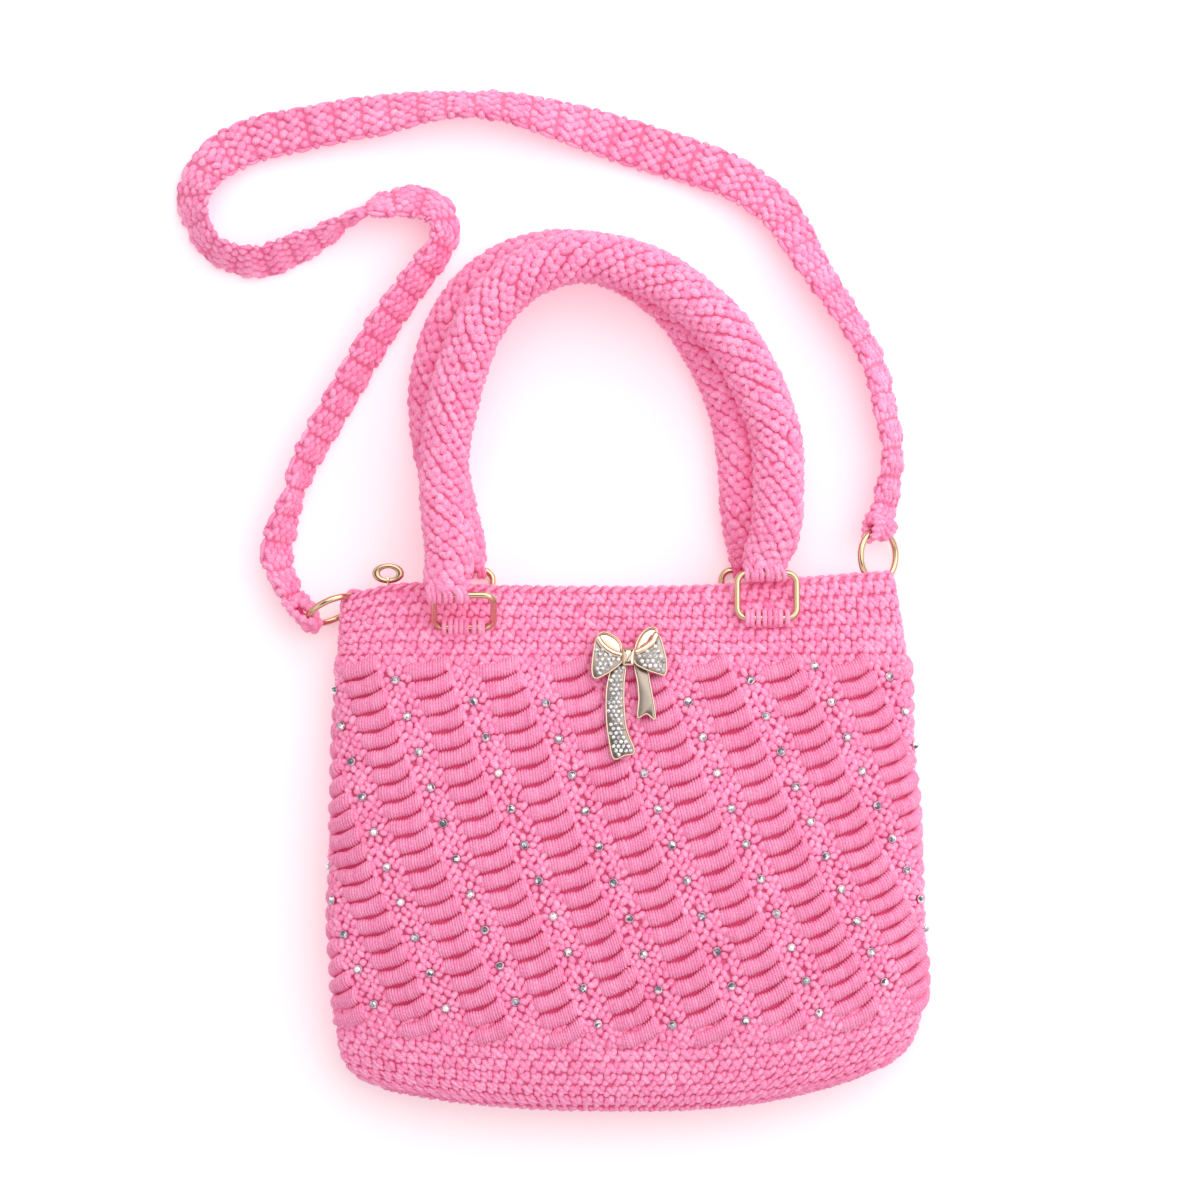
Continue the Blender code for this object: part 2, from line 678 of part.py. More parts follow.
def make_zip():
    rings = []
    for across in TAPE_BENDS:
        half, middle, _, _ = section(TAPE_DOWN, 0.0)
        inner = across * half / (half - WALL)
        low, high = [wall_level(TAPE_DOWN, inner, WALL, side) - side * TAPE_GAP
                     for side in (-1, 1)]
        mid = (low + high) / 2
        y = row_y(TAPE_DOWN, across)
        x = middle + across * half
        top, ridge = y + TAPE_THICK, y + TAPE_THICK + CHAIN_RAISE
        rings.append([(x, y, low), (x, y, high), (x, top, high), (x, top, mid + CHAIN_WIDE / 2),
                      (x, ridge, mid + CHAIN_WIDE / 2), (x, ridge, mid - CHAIN_WIDE / 2),
                      (x, top, mid - CHAIN_WIDE / 2), (x, top, low)])
    add_object("zip_tape", loft(rings), FINISH["tape"], smooth=False)

    first, second = rings[0][4], rings[1][4]
    slope = math.atan2(second[1] - first[1], second[0] - first[0])
    chain_top = (first[1] + second[1]) / 2 - row_y(0.0, SLIDER_ACROSS)
    body_middle = chain_top + LINK_GAP / math.cos(slope) + SLIDER_TALL / 2
    body = block((0, 0, 0), (SLIDER_LONG, SLIDER_TALL, SLIDER_WIDE), SLIDER_TALL * 0.2)
    bmesh.ops.transform(body, verts=body.verts,
                        matrix=Matrix.Translation(mouth_place(SLIDER_ACROSS, body_middle))
                        @ Matrix.Rotation(slope, 4, "Z"))
    slider = add_object("zip_slider", body, FINISH["metal"])
    bail = 3.6 * SMALL_WIRE
    bail_middle = body_middle + SLIDER_TALL / 2 + bail / 2 - SMALL_WIRE
    bail_band = bail_middle + bail / 2
    loop = wire_loop(circle_outline(bail, 12), SMALL_WIRE, 6,
                     Matrix.Translation(mouth_place(SLIDER_ACROSS, bail_middle)))
    add_boolean(slider, as_guide(add_object("bail_guide", loop, FINISH["metal"])), "UNION")

    pull_low = bail_band + SMALL_WIRE / 2 + 2.5 * LINK_GAP
    pull_middle = pull_low + PULL_WIDE / 2
    low = bail_band - SMALL_WIRE - LINK_GAP
    high = pull_low + PULL_BAND + LINK_GAP + SMALL_WIRE / 2
    link_high = high - low
    link_wide = PULL_THICK + 2 * LINK_GAP + SMALL_WIRE
    outline = ring_outline(link_wide, link_high, link_wide / 2.05, 3)
    upright = Matrix.Rotation(math.radians(90), 4, "Y")
    place = Matrix.Translation(mouth_place(SLIDER_ACROSS, (low + high) / 2)) @ upright
    add_object("zip_link", wire_loop(outline, SMALL_WIRE, 5, place), FINISH["metal"])

    center = mouth_place(SLIDER_ACROSS, pull_middle)
    rings = []
    for step in range(20):
        angle = math.tau * step / 20
        out = Vector((math.cos(angle) * PULL_LONG / 2, math.sin(angle) * PULL_WIDE / 2, 0))
        hole = Vector((math.cos(angle) * (PULL_LONG / 2 - 1.6 * PULL_BAND),
                       math.sin(angle) * (PULL_WIDE / 2 - PULL_BAND), 0))
        rise = Vector((0, 0, PULL_THICK / 2))
        rings.append([center + out + rise * 0.5, center + out * 0.95 + rise, center + hole + rise,
                      center + hole - rise, center + out * 0.95 - rise,
                      center + out - rise * 0.5])
    add_object("zip_pull", loft(rings, closed=True), FINISH["metal"])


def bow_plate(outline, thickness, lift=0.0):
    """A plate of the bow that lies on the ribs, cut from its outline."""
    top = BOW_TOP * BAG_HEIGHT
    points = []
    for across, down in outline:
        x = BOW_WIDTH * across
        y = RIM_Y - top - down * BOW_LENGTH
        points.append(Vector((x, y, front_level(x, y) + BOW_GAP + lift)))
    shape = loft([points, [point + Vector((0, 0, thickness)) for point in points]])
    bmesh.ops.triangulate(shape, faces=[face for face in shape.faces if len(face.verts) > 4])
    return shape


def make_bow():
    bow = add_object("bow_charm", bow_plate(KNOT, 2.4 * BOW_THICK), FINISH["metal"], smooth=False)
    plates = ((LEFT_LOOP, 2.0), (RIGHT_LOOP, 2.0), (LEFT_TAIL, 0.6), (RIGHT_TAIL, 0.6))
    for spot, (outline, thickness) in enumerate(plates):
        guide = as_guide(add_object(f"bow_guide_{spot}", bow_plate(outline, thickness * BOW_THICK),
                                    FINISH["metal"], smooth=False))
        add_boolean(bow, guide, "UNION")


def crystal_shape(places):
    """Flat-backed stones with a table and eight crown facets, joined by their thread."""
    shape = bmesh.new()
    rows = []
    count = 8
    for spot, (place, out) in enumerate(places):
        before, after = places[max(spot - 1, 0)][0], places[min(spot + 1, len(places) - 1)][0]
        along = (after - before) - out * (after - before).dot(out)
        along.normalize()
        side = out.cross(along)
        girdle, table = [], []
        for facet in range(count):
            angle = math.tau * (facet - 0.5) / count
            reach = along * math.cos(angle) + side * math.sin(angle)
            girdle.append(shape.verts.new(place + reach * CRYSTAL / 2))
            table.append(shape.verts.new(place + reach * CRYSTAL * 0.30 + out * CRYSTAL_RAISE))
        shape.faces.new(table)
        shape.faces.new(girdle)
        for facet in range(count):
            after = (facet + 1) % count
            threaded = (facet == 0 and spot < len(places) - 1) or (facet == 4 and spot > 0)
            if not threaded:
                shape.faces.new((girdle[facet], girdle[after], table[after], table[facet]))
        rows.append((girdle, table))
    for (girdle, table), (next_girdle, next_table) in zip(rows, rows[1:]):
        near = (girdle[0], girdle[1], table[1], table[0])
        far = (next_girdle[5], next_girdle[4], next_table[4], next_table[5])
        for spot in range(4):
            after = (spot + 1) % 4
            shape.faces.new((near[spot], near[after], far[after], far[spot]))
    return shape


def make_crystals():
    pitch = (RIBS_TO - RIBS_FROM) / RIBS
    for number, (column, first, count) in enumerate(STRINGS, 1):
        places = []
        for step in range(count):
            down = RIBS_FROM + (first + RIBS_PER_CRYSTAL * step) * pitch
            places.append(wall_point(down, column_share(column, down),
                                     KNOT_RAISE + CRYSTAL_GAP))
        add_object(f"crystal_string_{number:02d}", crystal_shape(places), FINISH["crystal"],
                   smooth=False)


clear_scene()
FINISH = {
    "yarn": material("yarn", (0.91, 0.30, 0.50), 0.9),
    "tape": material("tape", (0.90, 0.32, 0.52), 0.8),
    "metal": material("metal", (0.86, 0.72, 0.50), 0.25, 1.0),
    "crystal": material("crystal", (0.82, 0.84, 0.86), 0.08, 0.6),
}
make_bag()
make_rings()
make_handles()
make_strap()
make_zip()
make_bow()
make_crystals()
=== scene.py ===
"""Fine surface and looks of the crocheted handbag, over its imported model.

Metres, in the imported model's frame: X to the bag's right seen from its front, Y to the handles, Z up.
"""
import math

import bpy
import numpy as np
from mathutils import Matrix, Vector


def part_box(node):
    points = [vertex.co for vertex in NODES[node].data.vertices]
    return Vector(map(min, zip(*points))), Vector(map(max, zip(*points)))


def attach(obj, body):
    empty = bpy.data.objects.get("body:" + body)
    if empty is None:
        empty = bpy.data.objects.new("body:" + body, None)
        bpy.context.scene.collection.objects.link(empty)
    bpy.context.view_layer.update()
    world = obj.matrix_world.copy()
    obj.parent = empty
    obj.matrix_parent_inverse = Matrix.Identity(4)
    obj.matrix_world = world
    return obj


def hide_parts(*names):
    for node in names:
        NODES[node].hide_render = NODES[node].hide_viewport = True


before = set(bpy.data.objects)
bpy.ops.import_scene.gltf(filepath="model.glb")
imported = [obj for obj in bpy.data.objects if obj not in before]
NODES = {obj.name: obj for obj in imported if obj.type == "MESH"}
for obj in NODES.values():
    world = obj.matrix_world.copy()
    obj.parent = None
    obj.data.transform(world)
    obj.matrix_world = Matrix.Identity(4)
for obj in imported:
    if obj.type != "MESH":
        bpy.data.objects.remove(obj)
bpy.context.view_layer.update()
RANDOM = np.random.default_rng(11)

# Bag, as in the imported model
BAG_WIDTH = 0.296
BAG_HEIGHT = 0.258
BAG_DEPTH = 0.050
SQUARENESS = 3.0
ROUNDING = 2 / SQUARENESS
FLOOR_SINK = 0.0003
COLUMNS = 17
RIBS = 22
FIRST_COLUMN = -0.027
TWIST = 0.163
RIBS_FROM = 0.14
RIBS_TO = 0.86
RIB_RAISE = 0.0035
HALF_WIDTH = BAG_WIDTH / 2
RIM_Y = BAG_HEIGHT / 2
CORNER_BEND = 2.5
RIM_RADIUS = 0.0024
RIM_DOWN = RIM_RADIUS / BAG_HEIGHT
INNER_ROW = -math.pi * RIM_RADIUS
INNER_DEPTH = 0.150
BASE_CURL = 0.010
BASE_INSET = 0.0078
BASE_SINK = 0.0008
BASE_TUCK = 0.0018
TUCK_FROM = 0.93
#    down,  half,  shift,   back,  front, lift left, lift right
ROWS = (
    (0.000, 0.914, -0.033, 0.140, 0.560, 0.000, 0.000),
    (0.130, 0.939, -0.017, 0.060, 0.740, 0.000, 0.000),
    (0.250, 0.944, -0.010, 0.000, 0.860, 0.000, 0.002),
    (0.500, 0.964, -0.008, 0.000, 0.930, 0.006, 0.016),
    (0.700, 0.972, 0.002, 0.000, 0.930, 0.020, 0.042),
    (0.860, 0.967, 0.008, 0.020, 0.850, 0.034, 0.064),
    (0.930, 0.945, 0.000, 0.060, 0.760, 0.038, 0.068),
    (0.975, 0.886, -0.005, 0.130, 0.660, 0.038, 0.068),
    (1.000, 0.800, -0.002, 0.220, 0.540, 0.038, 0.068),
)
HALF, SHIFT, BACK, FRONT, LIFT_LEFT, LIFT_RIGHT = range(1, 7)
#    across the mouth, and how far its rim rises
RIM_WAVE = ((-1.00, -0.021), (-0.80, 0.004), (-0.40, 0.000), (0.27, 0.000), (0.63, 0.015),
            (1.00, 0.030))
#    column, ribs above its first crystal, and how many crystals
STRINGS = ((-1, 12.2, 5), (0, 1.8, 10), (1, 1.2, 10), (2, 2.4, 10), (3, 2.5, 10), (4, 6.5, 8),
           (5, 2.4, 10), (6, 1.2, 10), (7, 0.4, 9), (8, 1.0, 5))
RIBS_PER_CRYSTAL = 2.05

# Rings, handles and strap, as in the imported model
WIRE = 0.0032
RING_WIDTH = 0.0322
RING_HEIGHT = 0.0252
RING_CORNER = 0.0065
SIDE_RING = 0.0285
TAB_WIDTH = 0.021
#    across, down, level, tilt, and where the handle sits along the bar
RINGS = {
    "handle_ring_front_left": (-0.536, 0.048, 0.0410, 45.0, -0.25),
    "handle_ring_front_right": (0.460, 0.019, 0.0338, -7.0, -0.06),
    "handle_ring_back_left": (-0.546, 0.013, 0.0029, 0.0, 0.0),
    "handle_ring_back_right": (0.414, 0.013, 0.0029, 0.0, 0.0),
}
#    across, down, level, heading and tilt
SIDE_RINGS = {
    "side_ring_left": (-0.980, 0.046, 0.0150, 25.0, 69.0),
    "side_ring_right": (0.834, -0.057, 0.0150, 90.0, 44.0),
}
HANDLE_WIDE = 0.0235
HANDLE_THICK = 0.0235
HANDLE_RISE = 0.155
HANDLE_END = 0.0034
LINK_GAP = 0.0004
PULL_BAND = 0.0024
#    share of the way from seat to seat, rise, level, width and thickness
FRONT_HANDLE = (
    (0.00, 0.00, 2.05, 0.80, 0.36), (0.00, 0.06, 1.96, 0.92, 0.62), (0.01, 0.14, 1.80, 1.00, 0.96),
    (-0.01, 0.31, 1.60, 0.96, 1.00), (-0.01, 0.43, 1.56, 0.96, 1.00), (0.01, 0.57, 1.56, 1.00, 1.00),
    (0.05, 0.72, 1.56, 1.02, 1.00), (0.11, 0.86, 1.56, 1.02, 1.00), (0.23, 0.98, 1.56, 1.02, 1.00),
    (0.40, 1.03, 1.56, 1.00, 1.00), (0.57, 1.00, 1.56, 1.00, 1.00), (0.72, 0.92, 1.54, 1.00, 1.00),
    (0.88, 0.77, 1.47, 1.02, 1.00), (0.98, 0.60, 1.36, 1.02, 1.00), (1.04, 0.43, 1.30, 1.02, 1.00),
    (1.05, 0.27, 1.27, 1.00, 1.00), (1.04, 0.13, 1.26, 0.98, 0.94), (1.01, 0.05, 1.27, 0.90, 0.60),
    (1.00, 0.00, 1.27, 0.82, 0.36),
)
BACK_HANDLE = (
    (0.00, 0.00, 0.18, 0.80, 0.36), (0.00, 0.06, 0.31, 0.92, 0.60), (-0.03, 0.16, 0.48, 1.00, 0.94),
    (-0.06, 0.29, 0.51, 1.00, 1.00), (-0.09, 0.42, 0.51, 1.00, 1.00), (-0.10, 0.55, 0.51, 1.00, 1.00),
    (-0.08, 0.67, 0.51, 1.00, 1.00), (-0.03, 0.79, 0.51, 1.00, 1.00), (0.06, 0.90, 0.51, 1.00, 1.00),
    (0.18, 0.97, 0.51, 1.00, 1.00), (0.32, 1.00, 0.51, 1.00, 1.00), (0.46, 0.99, 0.51, 1.00, 1.00),
    (0.60, 0.94, 0.51, 1.00, 1.00), (0.75, 0.83, 0.51, 1.00, 1.00), (0.87, 0.66, 0.51, 1.00, 1.00),
    (0.94, 0.50, 0.51, 1.00, 1.00), (0.97, 0.33, 0.51, 1.00, 1.00), (0.98, 0.18, 0.48, 1.00, 0.94),
    (1.00, 0.06, 0.31, 0.92, 0.60), (1.00, 0.00, 0.18, 0.80, 0.36),
)
STRAP_WIDE = 0.0225
STRAP_THICK = 0.0045
STRAP_REACH = 0.245
#    share of the way from ring to ring, share of the reach, lean in degrees
STRAP_ROUTE = (
    (-0.060, 0.012, 69), (-0.084, 0.059, 60), (-0.102, 0.121, 54), (-0.088, 0.189, 60), (-0.071, 0.238, 74),
    (-0.057, 0.286, 64), (-0.029, 0.343, 58), (0.007, 0.409, 55), (0.044, 0.475, 54), (0.080, 0.541, 54),
    (0.117, 0.597, 54), (0.144, 0.634, 56), (0.172, 0.671, 58), (0.199, 0.709, 61), (0.207, 0.745, 58),
    (0.193, 0.782, 50), (0.153, 0.803, 46), (0.099, 0.803, 58), (0.035, 0.784, 90), (-0.024, 0.749, 112),
    (-0.066, 0.733, 122), (-0.126, 0.714, 125), (-0.175, 0.723, 123), (-0.221, 0.754, 118),
    (-0.248, 0.807, 122), (-0.255, 0.862, 138), (-0.228, 0.915, 154), (-0.184, 0.947, 166),
    (-0.130, 0.965, 167), (-0.057, 0.974, 164), (0.016, 0.982, 160), (0.089, 0.986, 153),
    (0.162, 0.992, 136), (0.235, 0.989, 124), (0.308, 0.979, 130), (0.381, 0.953, 142), (0.491, 0.907, 165),
    (0.564, 0.873, 172), (0.637, 0.841, 172), (0.692, 0.815, 166), (0.746, 0.783, 160), (0.792, 0.744, 154),
    (0.828, 0.701, 149), (0.856, 0.648, 140), (0.883, 0.595, 131), (0.920, 0.531, 125), (0.956, 0.467, 121),
    (0.987, 0.403, 118), (1.005, 0.341, 117), (1.016, 0.280, 118), (1.026, 0.229, 113), (1.026, 0.179, 114),
    (1.018, 0.130, 120), (1.009, 0.085, 128), (1.000, 0.052, 136),
)
STRAP_LIFTS = (0.12, 0.06), (0.04, 0.12, 0.24)

# Steps of the grids
ROW_STEP = 0.001
WALL_COLUMNS = 720
CURVE_STEPS = 12
HANDLE_STATIONS = 320
STRAP_STATIONS = 900
FULL_TURN = math.tau * np.arange(WALL_COLUMNS * 2 + 1) / (WALL_COLUMNS * 2)
X_AXIS = np.array([1.0, 0, 0])
Z_AXIS = np.array([0, 0, 1.0])

# Stitches and strands
STITCH = 0.0061
STRAND = 0.0026
LOBE_RISE = 0.0016
LOBE_LIFT = -0.0009
# Painted shade of the plain ground between the stitches.
PLAIN_GROUND_SHADE = 0.55
BAND_GIRTH = 0.595
#    share of a cell along its row and down it, angle, length and width in cells
SINGLE_CROCHET = ((0.02, 0.03, -42, 1.22, 0.64), (-0.28, -0.27, 60, 0.76, 0.60),
                  (0.30, 0.25, 80, 0.76, 0.58))
#    row and angle
MOUTH_ROWS = ((-0.0008, 34), (-0.0037, -34), (-0.0068, 34), (-0.0115, -42), (-0.0165, 42))
SHELL_INSET = 0.0016
RIB_LENGTH = 0.0222
RIB_THICK = 0.0099
RIB_SAG = 0.0021
RIB_WRAPS = 16
RIB_PINCH = 0.20
RIB_GROOVE = 0.125
KNOT_PITCH = 0.0040
KNOT_ACROSS = 0.0028
KNOT_ROOM = 0.0053
KNOT_LONG = 0.0054
KNOT_WIDE = 0.0035
KNOT_RISE = 0.0019
KNOT_ANGLES = (112, 64, 118, 66, 116, 60)
PETALS = 7
PETAL_REACH = 0.0041
PETAL_LONG = 0.0045
CRYSTAL = 0.0039
CRYSTAL_LIFT = 0.0016
STRAP_PITCH = 0.00695
STRAP_CELLS = 4
#    share of the width, and reach, by which the ends narrow
STRAP_NARROWS = (0.22, 0.030)
STRAP_INSET = 0.0011
STRAP_LOBE_WIDE = 0.0046
STRAP_LOBE_RISE = 0.0019
STRAP_LOBE_SPLIT = 0.22
STRAP_LOBE_LEAN = 34.0
EDGE_LIFT = -0.0008
#    share of the pitch from the middle, lift and length of strands away from and near a groove
STRAP_LOBES = ((0.29, -0.0006, 0.0064), (0.155, -0.0013, 0.0052))
#    angle, length, width and rise
EDGE_KNOB = (8.0, 0.0062, 0.0040, 0.0019)
EDGE_STRAND = (84.0, STRAP_PITCH * 1.5, 0.0032, 0.0016)
HITCHES = 5
HITCH_THICK = 0.0034
HITCH_SPREAD = 28
HITCH_STEPS = 64
HITCH_KNOBS = 9
HITCH_KNOB_RISE = 0.30
# Painted shade of the hitch strands, most between their knobs.
HITCH_PAINTED_SHADE = 0.12
GATHERED = 8
GATHER_FROM = 0.0090
GATHER_THICK = 0.0025
GATHER_SLANT = 0.0012
GATHER_SPREAD = 0.0005
# Painted shade of the strands gathered over and round the handle rings' bars.
GATHER_PAINTED_SHADE = 0.08
TAB_DROP = 0.0046
HOLD_STRANDS = 4
HOLD_SPREAD = 0.0034
HOLD_RADIUS = 0.0030
HOLD_REACH = 0.0075
# Painted shade of the strands that hold the side rings.
HOLD_PAINTED_SHADE = 0.12
HANDLE_RIDGES = 6
HANDLE_PITCH = 0.0036
HANDLE_TURN = 0.078
RIDGE_SPLIT = 0.235
PEBBLE_LONG = 0.0070
PEBBLE_WIDE = 0.0046
PEBBLE_RISE = 0.0023
HANDLE_BARE = 0.0055
HANDLE_NARROWS = (0.14, 0.010)
CORE_BARE = 0.0052
PEBBLE_LIFT = -0.0010
# Negative: the handle's pebbles take less painted shade than the ground between them.
PEBBLE_PAINTED_SHADE = -0.12
#    side of its ridge, angle, share of a pitch that it comes late, length and width
PEBBLE_LINES = ((-1, 150.0, 0.0, 1.00, 1.00), (1, 112.0, 0.5, 1.00, 1.00),
                (0.15, 62.0, 0.25, 0.80, 0.66))
FLOOR_CLEAR = 0.0004

# Bow: across is a share of its width from the knot, down a share of its length
BOW_WIDTH = 0.037
BOW_LENGTH = 0.063
BOW_TOP = 0.080
BOW_GAP = 0.0006
PANEL_HIGH = 0.0042
TAIL_HIGH = 0.0020
CAVE_HIGH = 0.0016
CAVE_RIM = 0.0026
KNOT_HIGH = 0.0062
ROLL_HIGH = 0.0043
ROLL_THICK = 0.0028
RIM_THICK = 0.00084
PANEL_STONE = 0.0026
TAIL_STONE = 0.0024
LEFT_CAVE = ((-0.075, 0.155), (-0.10, 0.10), (-0.20, 0.051), (-0.31, 0.031), (-0.395, 0.058),
             (-0.38, 0.11), (-0.29, 0.16), (-0.18, 0.195), (-0.08, 0.21))
LEFT_PANEL = ((-0.07, 0.21), (-0.17, 0.195), (-0.26, 0.167), (-0.34, 0.125), (-0.40, 0.065),
              (-0.435, 0.16), (-0.465, 0.32), (-0.42, 0.385), (-0.29, 0.355), (-0.16, 0.305),
              (-0.07, 0.255))
RIGHT_CAVE = ((0.10, 0.165), (0.13, 0.10), (0.20, 0.035), (0.30, -0.005), (0.385, 0.005),
              (0.38, 0.07), (0.33, 0.115), (0.23, 0.155), (0.10, 0.19))
RIGHT_PANEL = ((0.10, 0.19), (0.22, 0.160), (0.33, 0.110), (0.385, 0.040), (0.44, 0.085),
               (0.475, 0.16), (0.51, 0.25), (0.495, 0.355), (0.41, 0.350), (0.30, 0.330),
               (0.20, 0.305), (0.10, 0.265))
LEFT_TAIL = ((-0.19, 0.285), (-0.03, 0.275), (-0.045, 0.42), (-0.045, 0.60), (-0.01, 0.78),
             (0.09, 0.945), (-0.04, 0.975), (-0.18, 1.00), (-0.24, 0.86), (-0.275, 0.70),
             (-0.275, 0.50), (-0.245, 0.38))
RIGHT_TAIL = ((0.10, 0.275), (0.25, 0.290), (0.30, 0.44), (0.35, 0.60), (0.355, 0.70),
              (0.25, 0.655), (0.135, 0.685), (0.15, 0.55), (0.135, 0.42))
KNOT = ((-0.065, 0.155), (0.015, 0.150), (0.098, 0.155), (0.095, 0.21), (0.085, 0.28),
        (0.01, 0.288), (-0.060, 0.283), (-0.068, 0.21))

# Studio: what the metal reflects, by height, and the camera over the bag
STUDIO_TOP = 1.2
STUDIO = ((0.10, (0.40, 0.28, 0.26)), (0.45, (0.66, 0.54, 0.50)), (0.64, (1.0, 0.98, 0.96)),
          (0.92, (1.0, 0.99, 0.97)), (1.00, (0.16, 0.12, 0.09)), (1.14, (0.08, 0.06, 0.05)))
CAMERA_PLACE = (-0.01323, 0.12201, 2.2)
FOCUS_LEVEL = 0.020
VIEW_WIDTH = 0.588


def read_rows(rows, keys, column):
    """Values of one column at some keys, on a smooth curve through the rows."""
    table = np.array(rows, dtype=float)
    at, value = table[:, 0], table[:, column]
    keys = np.asarray(keys, dtype=float)
    low = np.clip(np.searchsorted(at, keys, side="left") - 1, 0, len(at) - 2)
    high, before = low + 1, np.maximum(low - 1, 0)
    after = np.minimum(low + 2, len(at) - 1)
    span = at[high] - at[low]
    share = np.clip((keys - at[low]) / span, 0.0, 1.0)
    slope_low = (value[high] - value[before]) / (at[high] - at[before]) * span
    slope_high = (value[after] - value[low]) / (at[after] - at[low]) * span
    square, cube = share ** 2, share ** 3
    return (value[low] * (2 * cube - 3 * square + 1) + slope_low * (cube - 2 * square + share)
            + value[high] * (3 * square - 2 * cube) + slope_high * (cube - square))


def smooth_curve(points, steps, closed=False):
    """A Catmull-Rom curve with a number of steps from each point to the next."""
    count = len(points)
    spots = np.arange(count if closed else count - 1)
    a, b, c, d = (points[(spots + shift) % count if closed else np.clip(spots + shift, 0, count - 1)][:, None]
                  for shift in (-1, 0, 1, 2))
    u = (np.arange(steps) / steps)[:, None]
    fine = 0.5 * (2 * b + (c - a) * u + (2 * a - 5 * b + 4 * c - d) * u ** 2
                  + (3 * b - a - 3 * c + d) * u ** 3)
    fine = fine.reshape(-1, points.shape[1])
    return fine if closed else np.concatenate([fine, points[-1:]])


def walk(points):
    """Distance along a path up to each of its points."""
    return np.concatenate([[0.0], np.cumsum(np.linalg.norm(np.diff(points, axis=0), axis=1))])


def even_steps(path, count):
    """A path at even steps, and its length; the first three values of a point are its place."""
    lengths = walk(path[:, :3])
    targets = np.linspace(0.0, lengths[-1], count)
    return np.column_stack([np.interp(targets, lengths, column) for column in path.T]), lengths[-1]


def curved(value, power):
    return np.sign(value) * np.abs(value) ** power


def even_section(angles, power, columns, wide, thick):
    """Unit outline of a section, evenly stepped once it is stretched to its width and thickness."""
    x, y = wide * curved(np.cos(angles), power), thick * curved(np.sin(angles), power)
    lengths = walk(np.column_stack([x, y]))
    turns = np.interp(np.arange(columns) / columns * lengths[-1], lengths, angles)
    return curved(np.cos(turns), power), curved(np.sin(turns), power)


def unit(vectors):
    return vectors / np.maximum(np.linalg.norm(vectors, axis=-1, keepdims=True), 1e-12)


def turn(axis, degrees):
    """Rotation matrix about X or Z."""
    angle = math.radians(degrees)
    c, s = math.cos(angle), math.sin(angle)
    if axis == "X":
        return np.array([[1, 0, 0], [0, c, -s], [0, s, c]])
    return np.array([[c, -s, 0], [s, c, 0], [0, 0, 1]])


def circle(count, radius=1.0, shift=0.0):
    """Even points on a circle in the XY plane, turned by a share of their step."""
    turns = math.tau * (np.arange(count) + shift) / count
    return np.stack([np.cos(turns), np.sin(turns), turns * 0], axis=1) * radius


class Skin:
    """A surface known on a grid of rows along it and shares round it; up is 1 or -1 along its rows."""

    def __init__(self, points, row_step, first_row=0.0, up=1.0):
        self.points, self.step, self.first, self.up = points, row_step, first_row, up
        self.rows, self.columns = points.shape[:2]
        after = np.roll(points, -1, axis=1)
        round_by = after - np.roll(points, 1, axis=1)
        self.normals = unit(np.cross(round_by, np.gradient(points, axis=0))) * up
        self.girth = np.linalg.norm(after - points, axis=2).sum(axis=1)

    def girth_at(self, row):
        spot = np.clip((np.asarray(row) - self.first) / self.step, 0, self.rows - 1)
        return np.interp(spot, np.arange(self.rows), self.girth)

    def place(self, row, share, height):
        """Points at a row in metres along, a share round and a height above the surface."""
        spot = np.clip((row - self.first) / self.step, 0, self.rows - 1.001)
        i = spot.astype(int)
        u = (spot - i)[..., None]
        side = np.mod(share, 1.0) * self.columns
        j = side.astype(int) % self.columns
        v = (side - np.floor(side))[..., None]
        k = (j + 1) % self.columns
        place, normal = ((grid[i, j] * (1 - v) + grid[i, k] * v) * (1 - u)
                         + (grid[i + 1, j] * (1 - v) + grid[i + 1, k] * v) * u
                         for grid in (self.points, self.normals))
        return place + unit(normal) * np.asarray(height)[..., None]


def down_row(down):
    """Row of the wall's skin at a share of the way down from the rim."""
    return (down - RIM_DOWN) * BAG_HEIGHT


def row_y(down, across):
    """Y of a level row of the wall at -1 to 1 across the bag."""
    lift = np.where(across < 0, read_rows(ROWS, down, LIFT_LEFT), read_rows(ROWS, down, LIFT_RIGHT))
    rim = read_rows(RIM_WAVE, across, 1) * np.maximum(0.0, 1.0 - down / RIBS_FROM)
    return BAG_HEIGHT * (0.5 - down + lift * np.abs(across) ** CORNER_BEND + rim)


def wall_width(down):
    """Middle and half of the wall's width."""
    return read_rows(ROWS, down, SHIFT) * HALF_WIDTH, read_rows(ROWS, down, HALF) * HALF_WIDTH


def wall_depth(down, inset=0.0):
    """Middle and half of the wall's depth."""
    back = read_rows(ROWS, down, BACK) * BAG_DEPTH - FLOOR_SINK + inset
    front = read_rows(ROWS, down, FRONT) * BAG_DEPTH - inset
    return (front + back) / 2, (front - back) / 2


def wall_level(x, y, side):
    """Height of the wall's front (side 1) or back (side -1) at a place."""
    down = 0.5 - y / BAG_HEIGHT
    middle, half = wall_width(down)
    level, thick = wall_depth(down)
    bulge = (1 - np.minimum(np.abs((x - middle) / half), 1.0) ** SQUARENESS) ** (1 / SQUARENESS)
    return level + side * bulge * thick


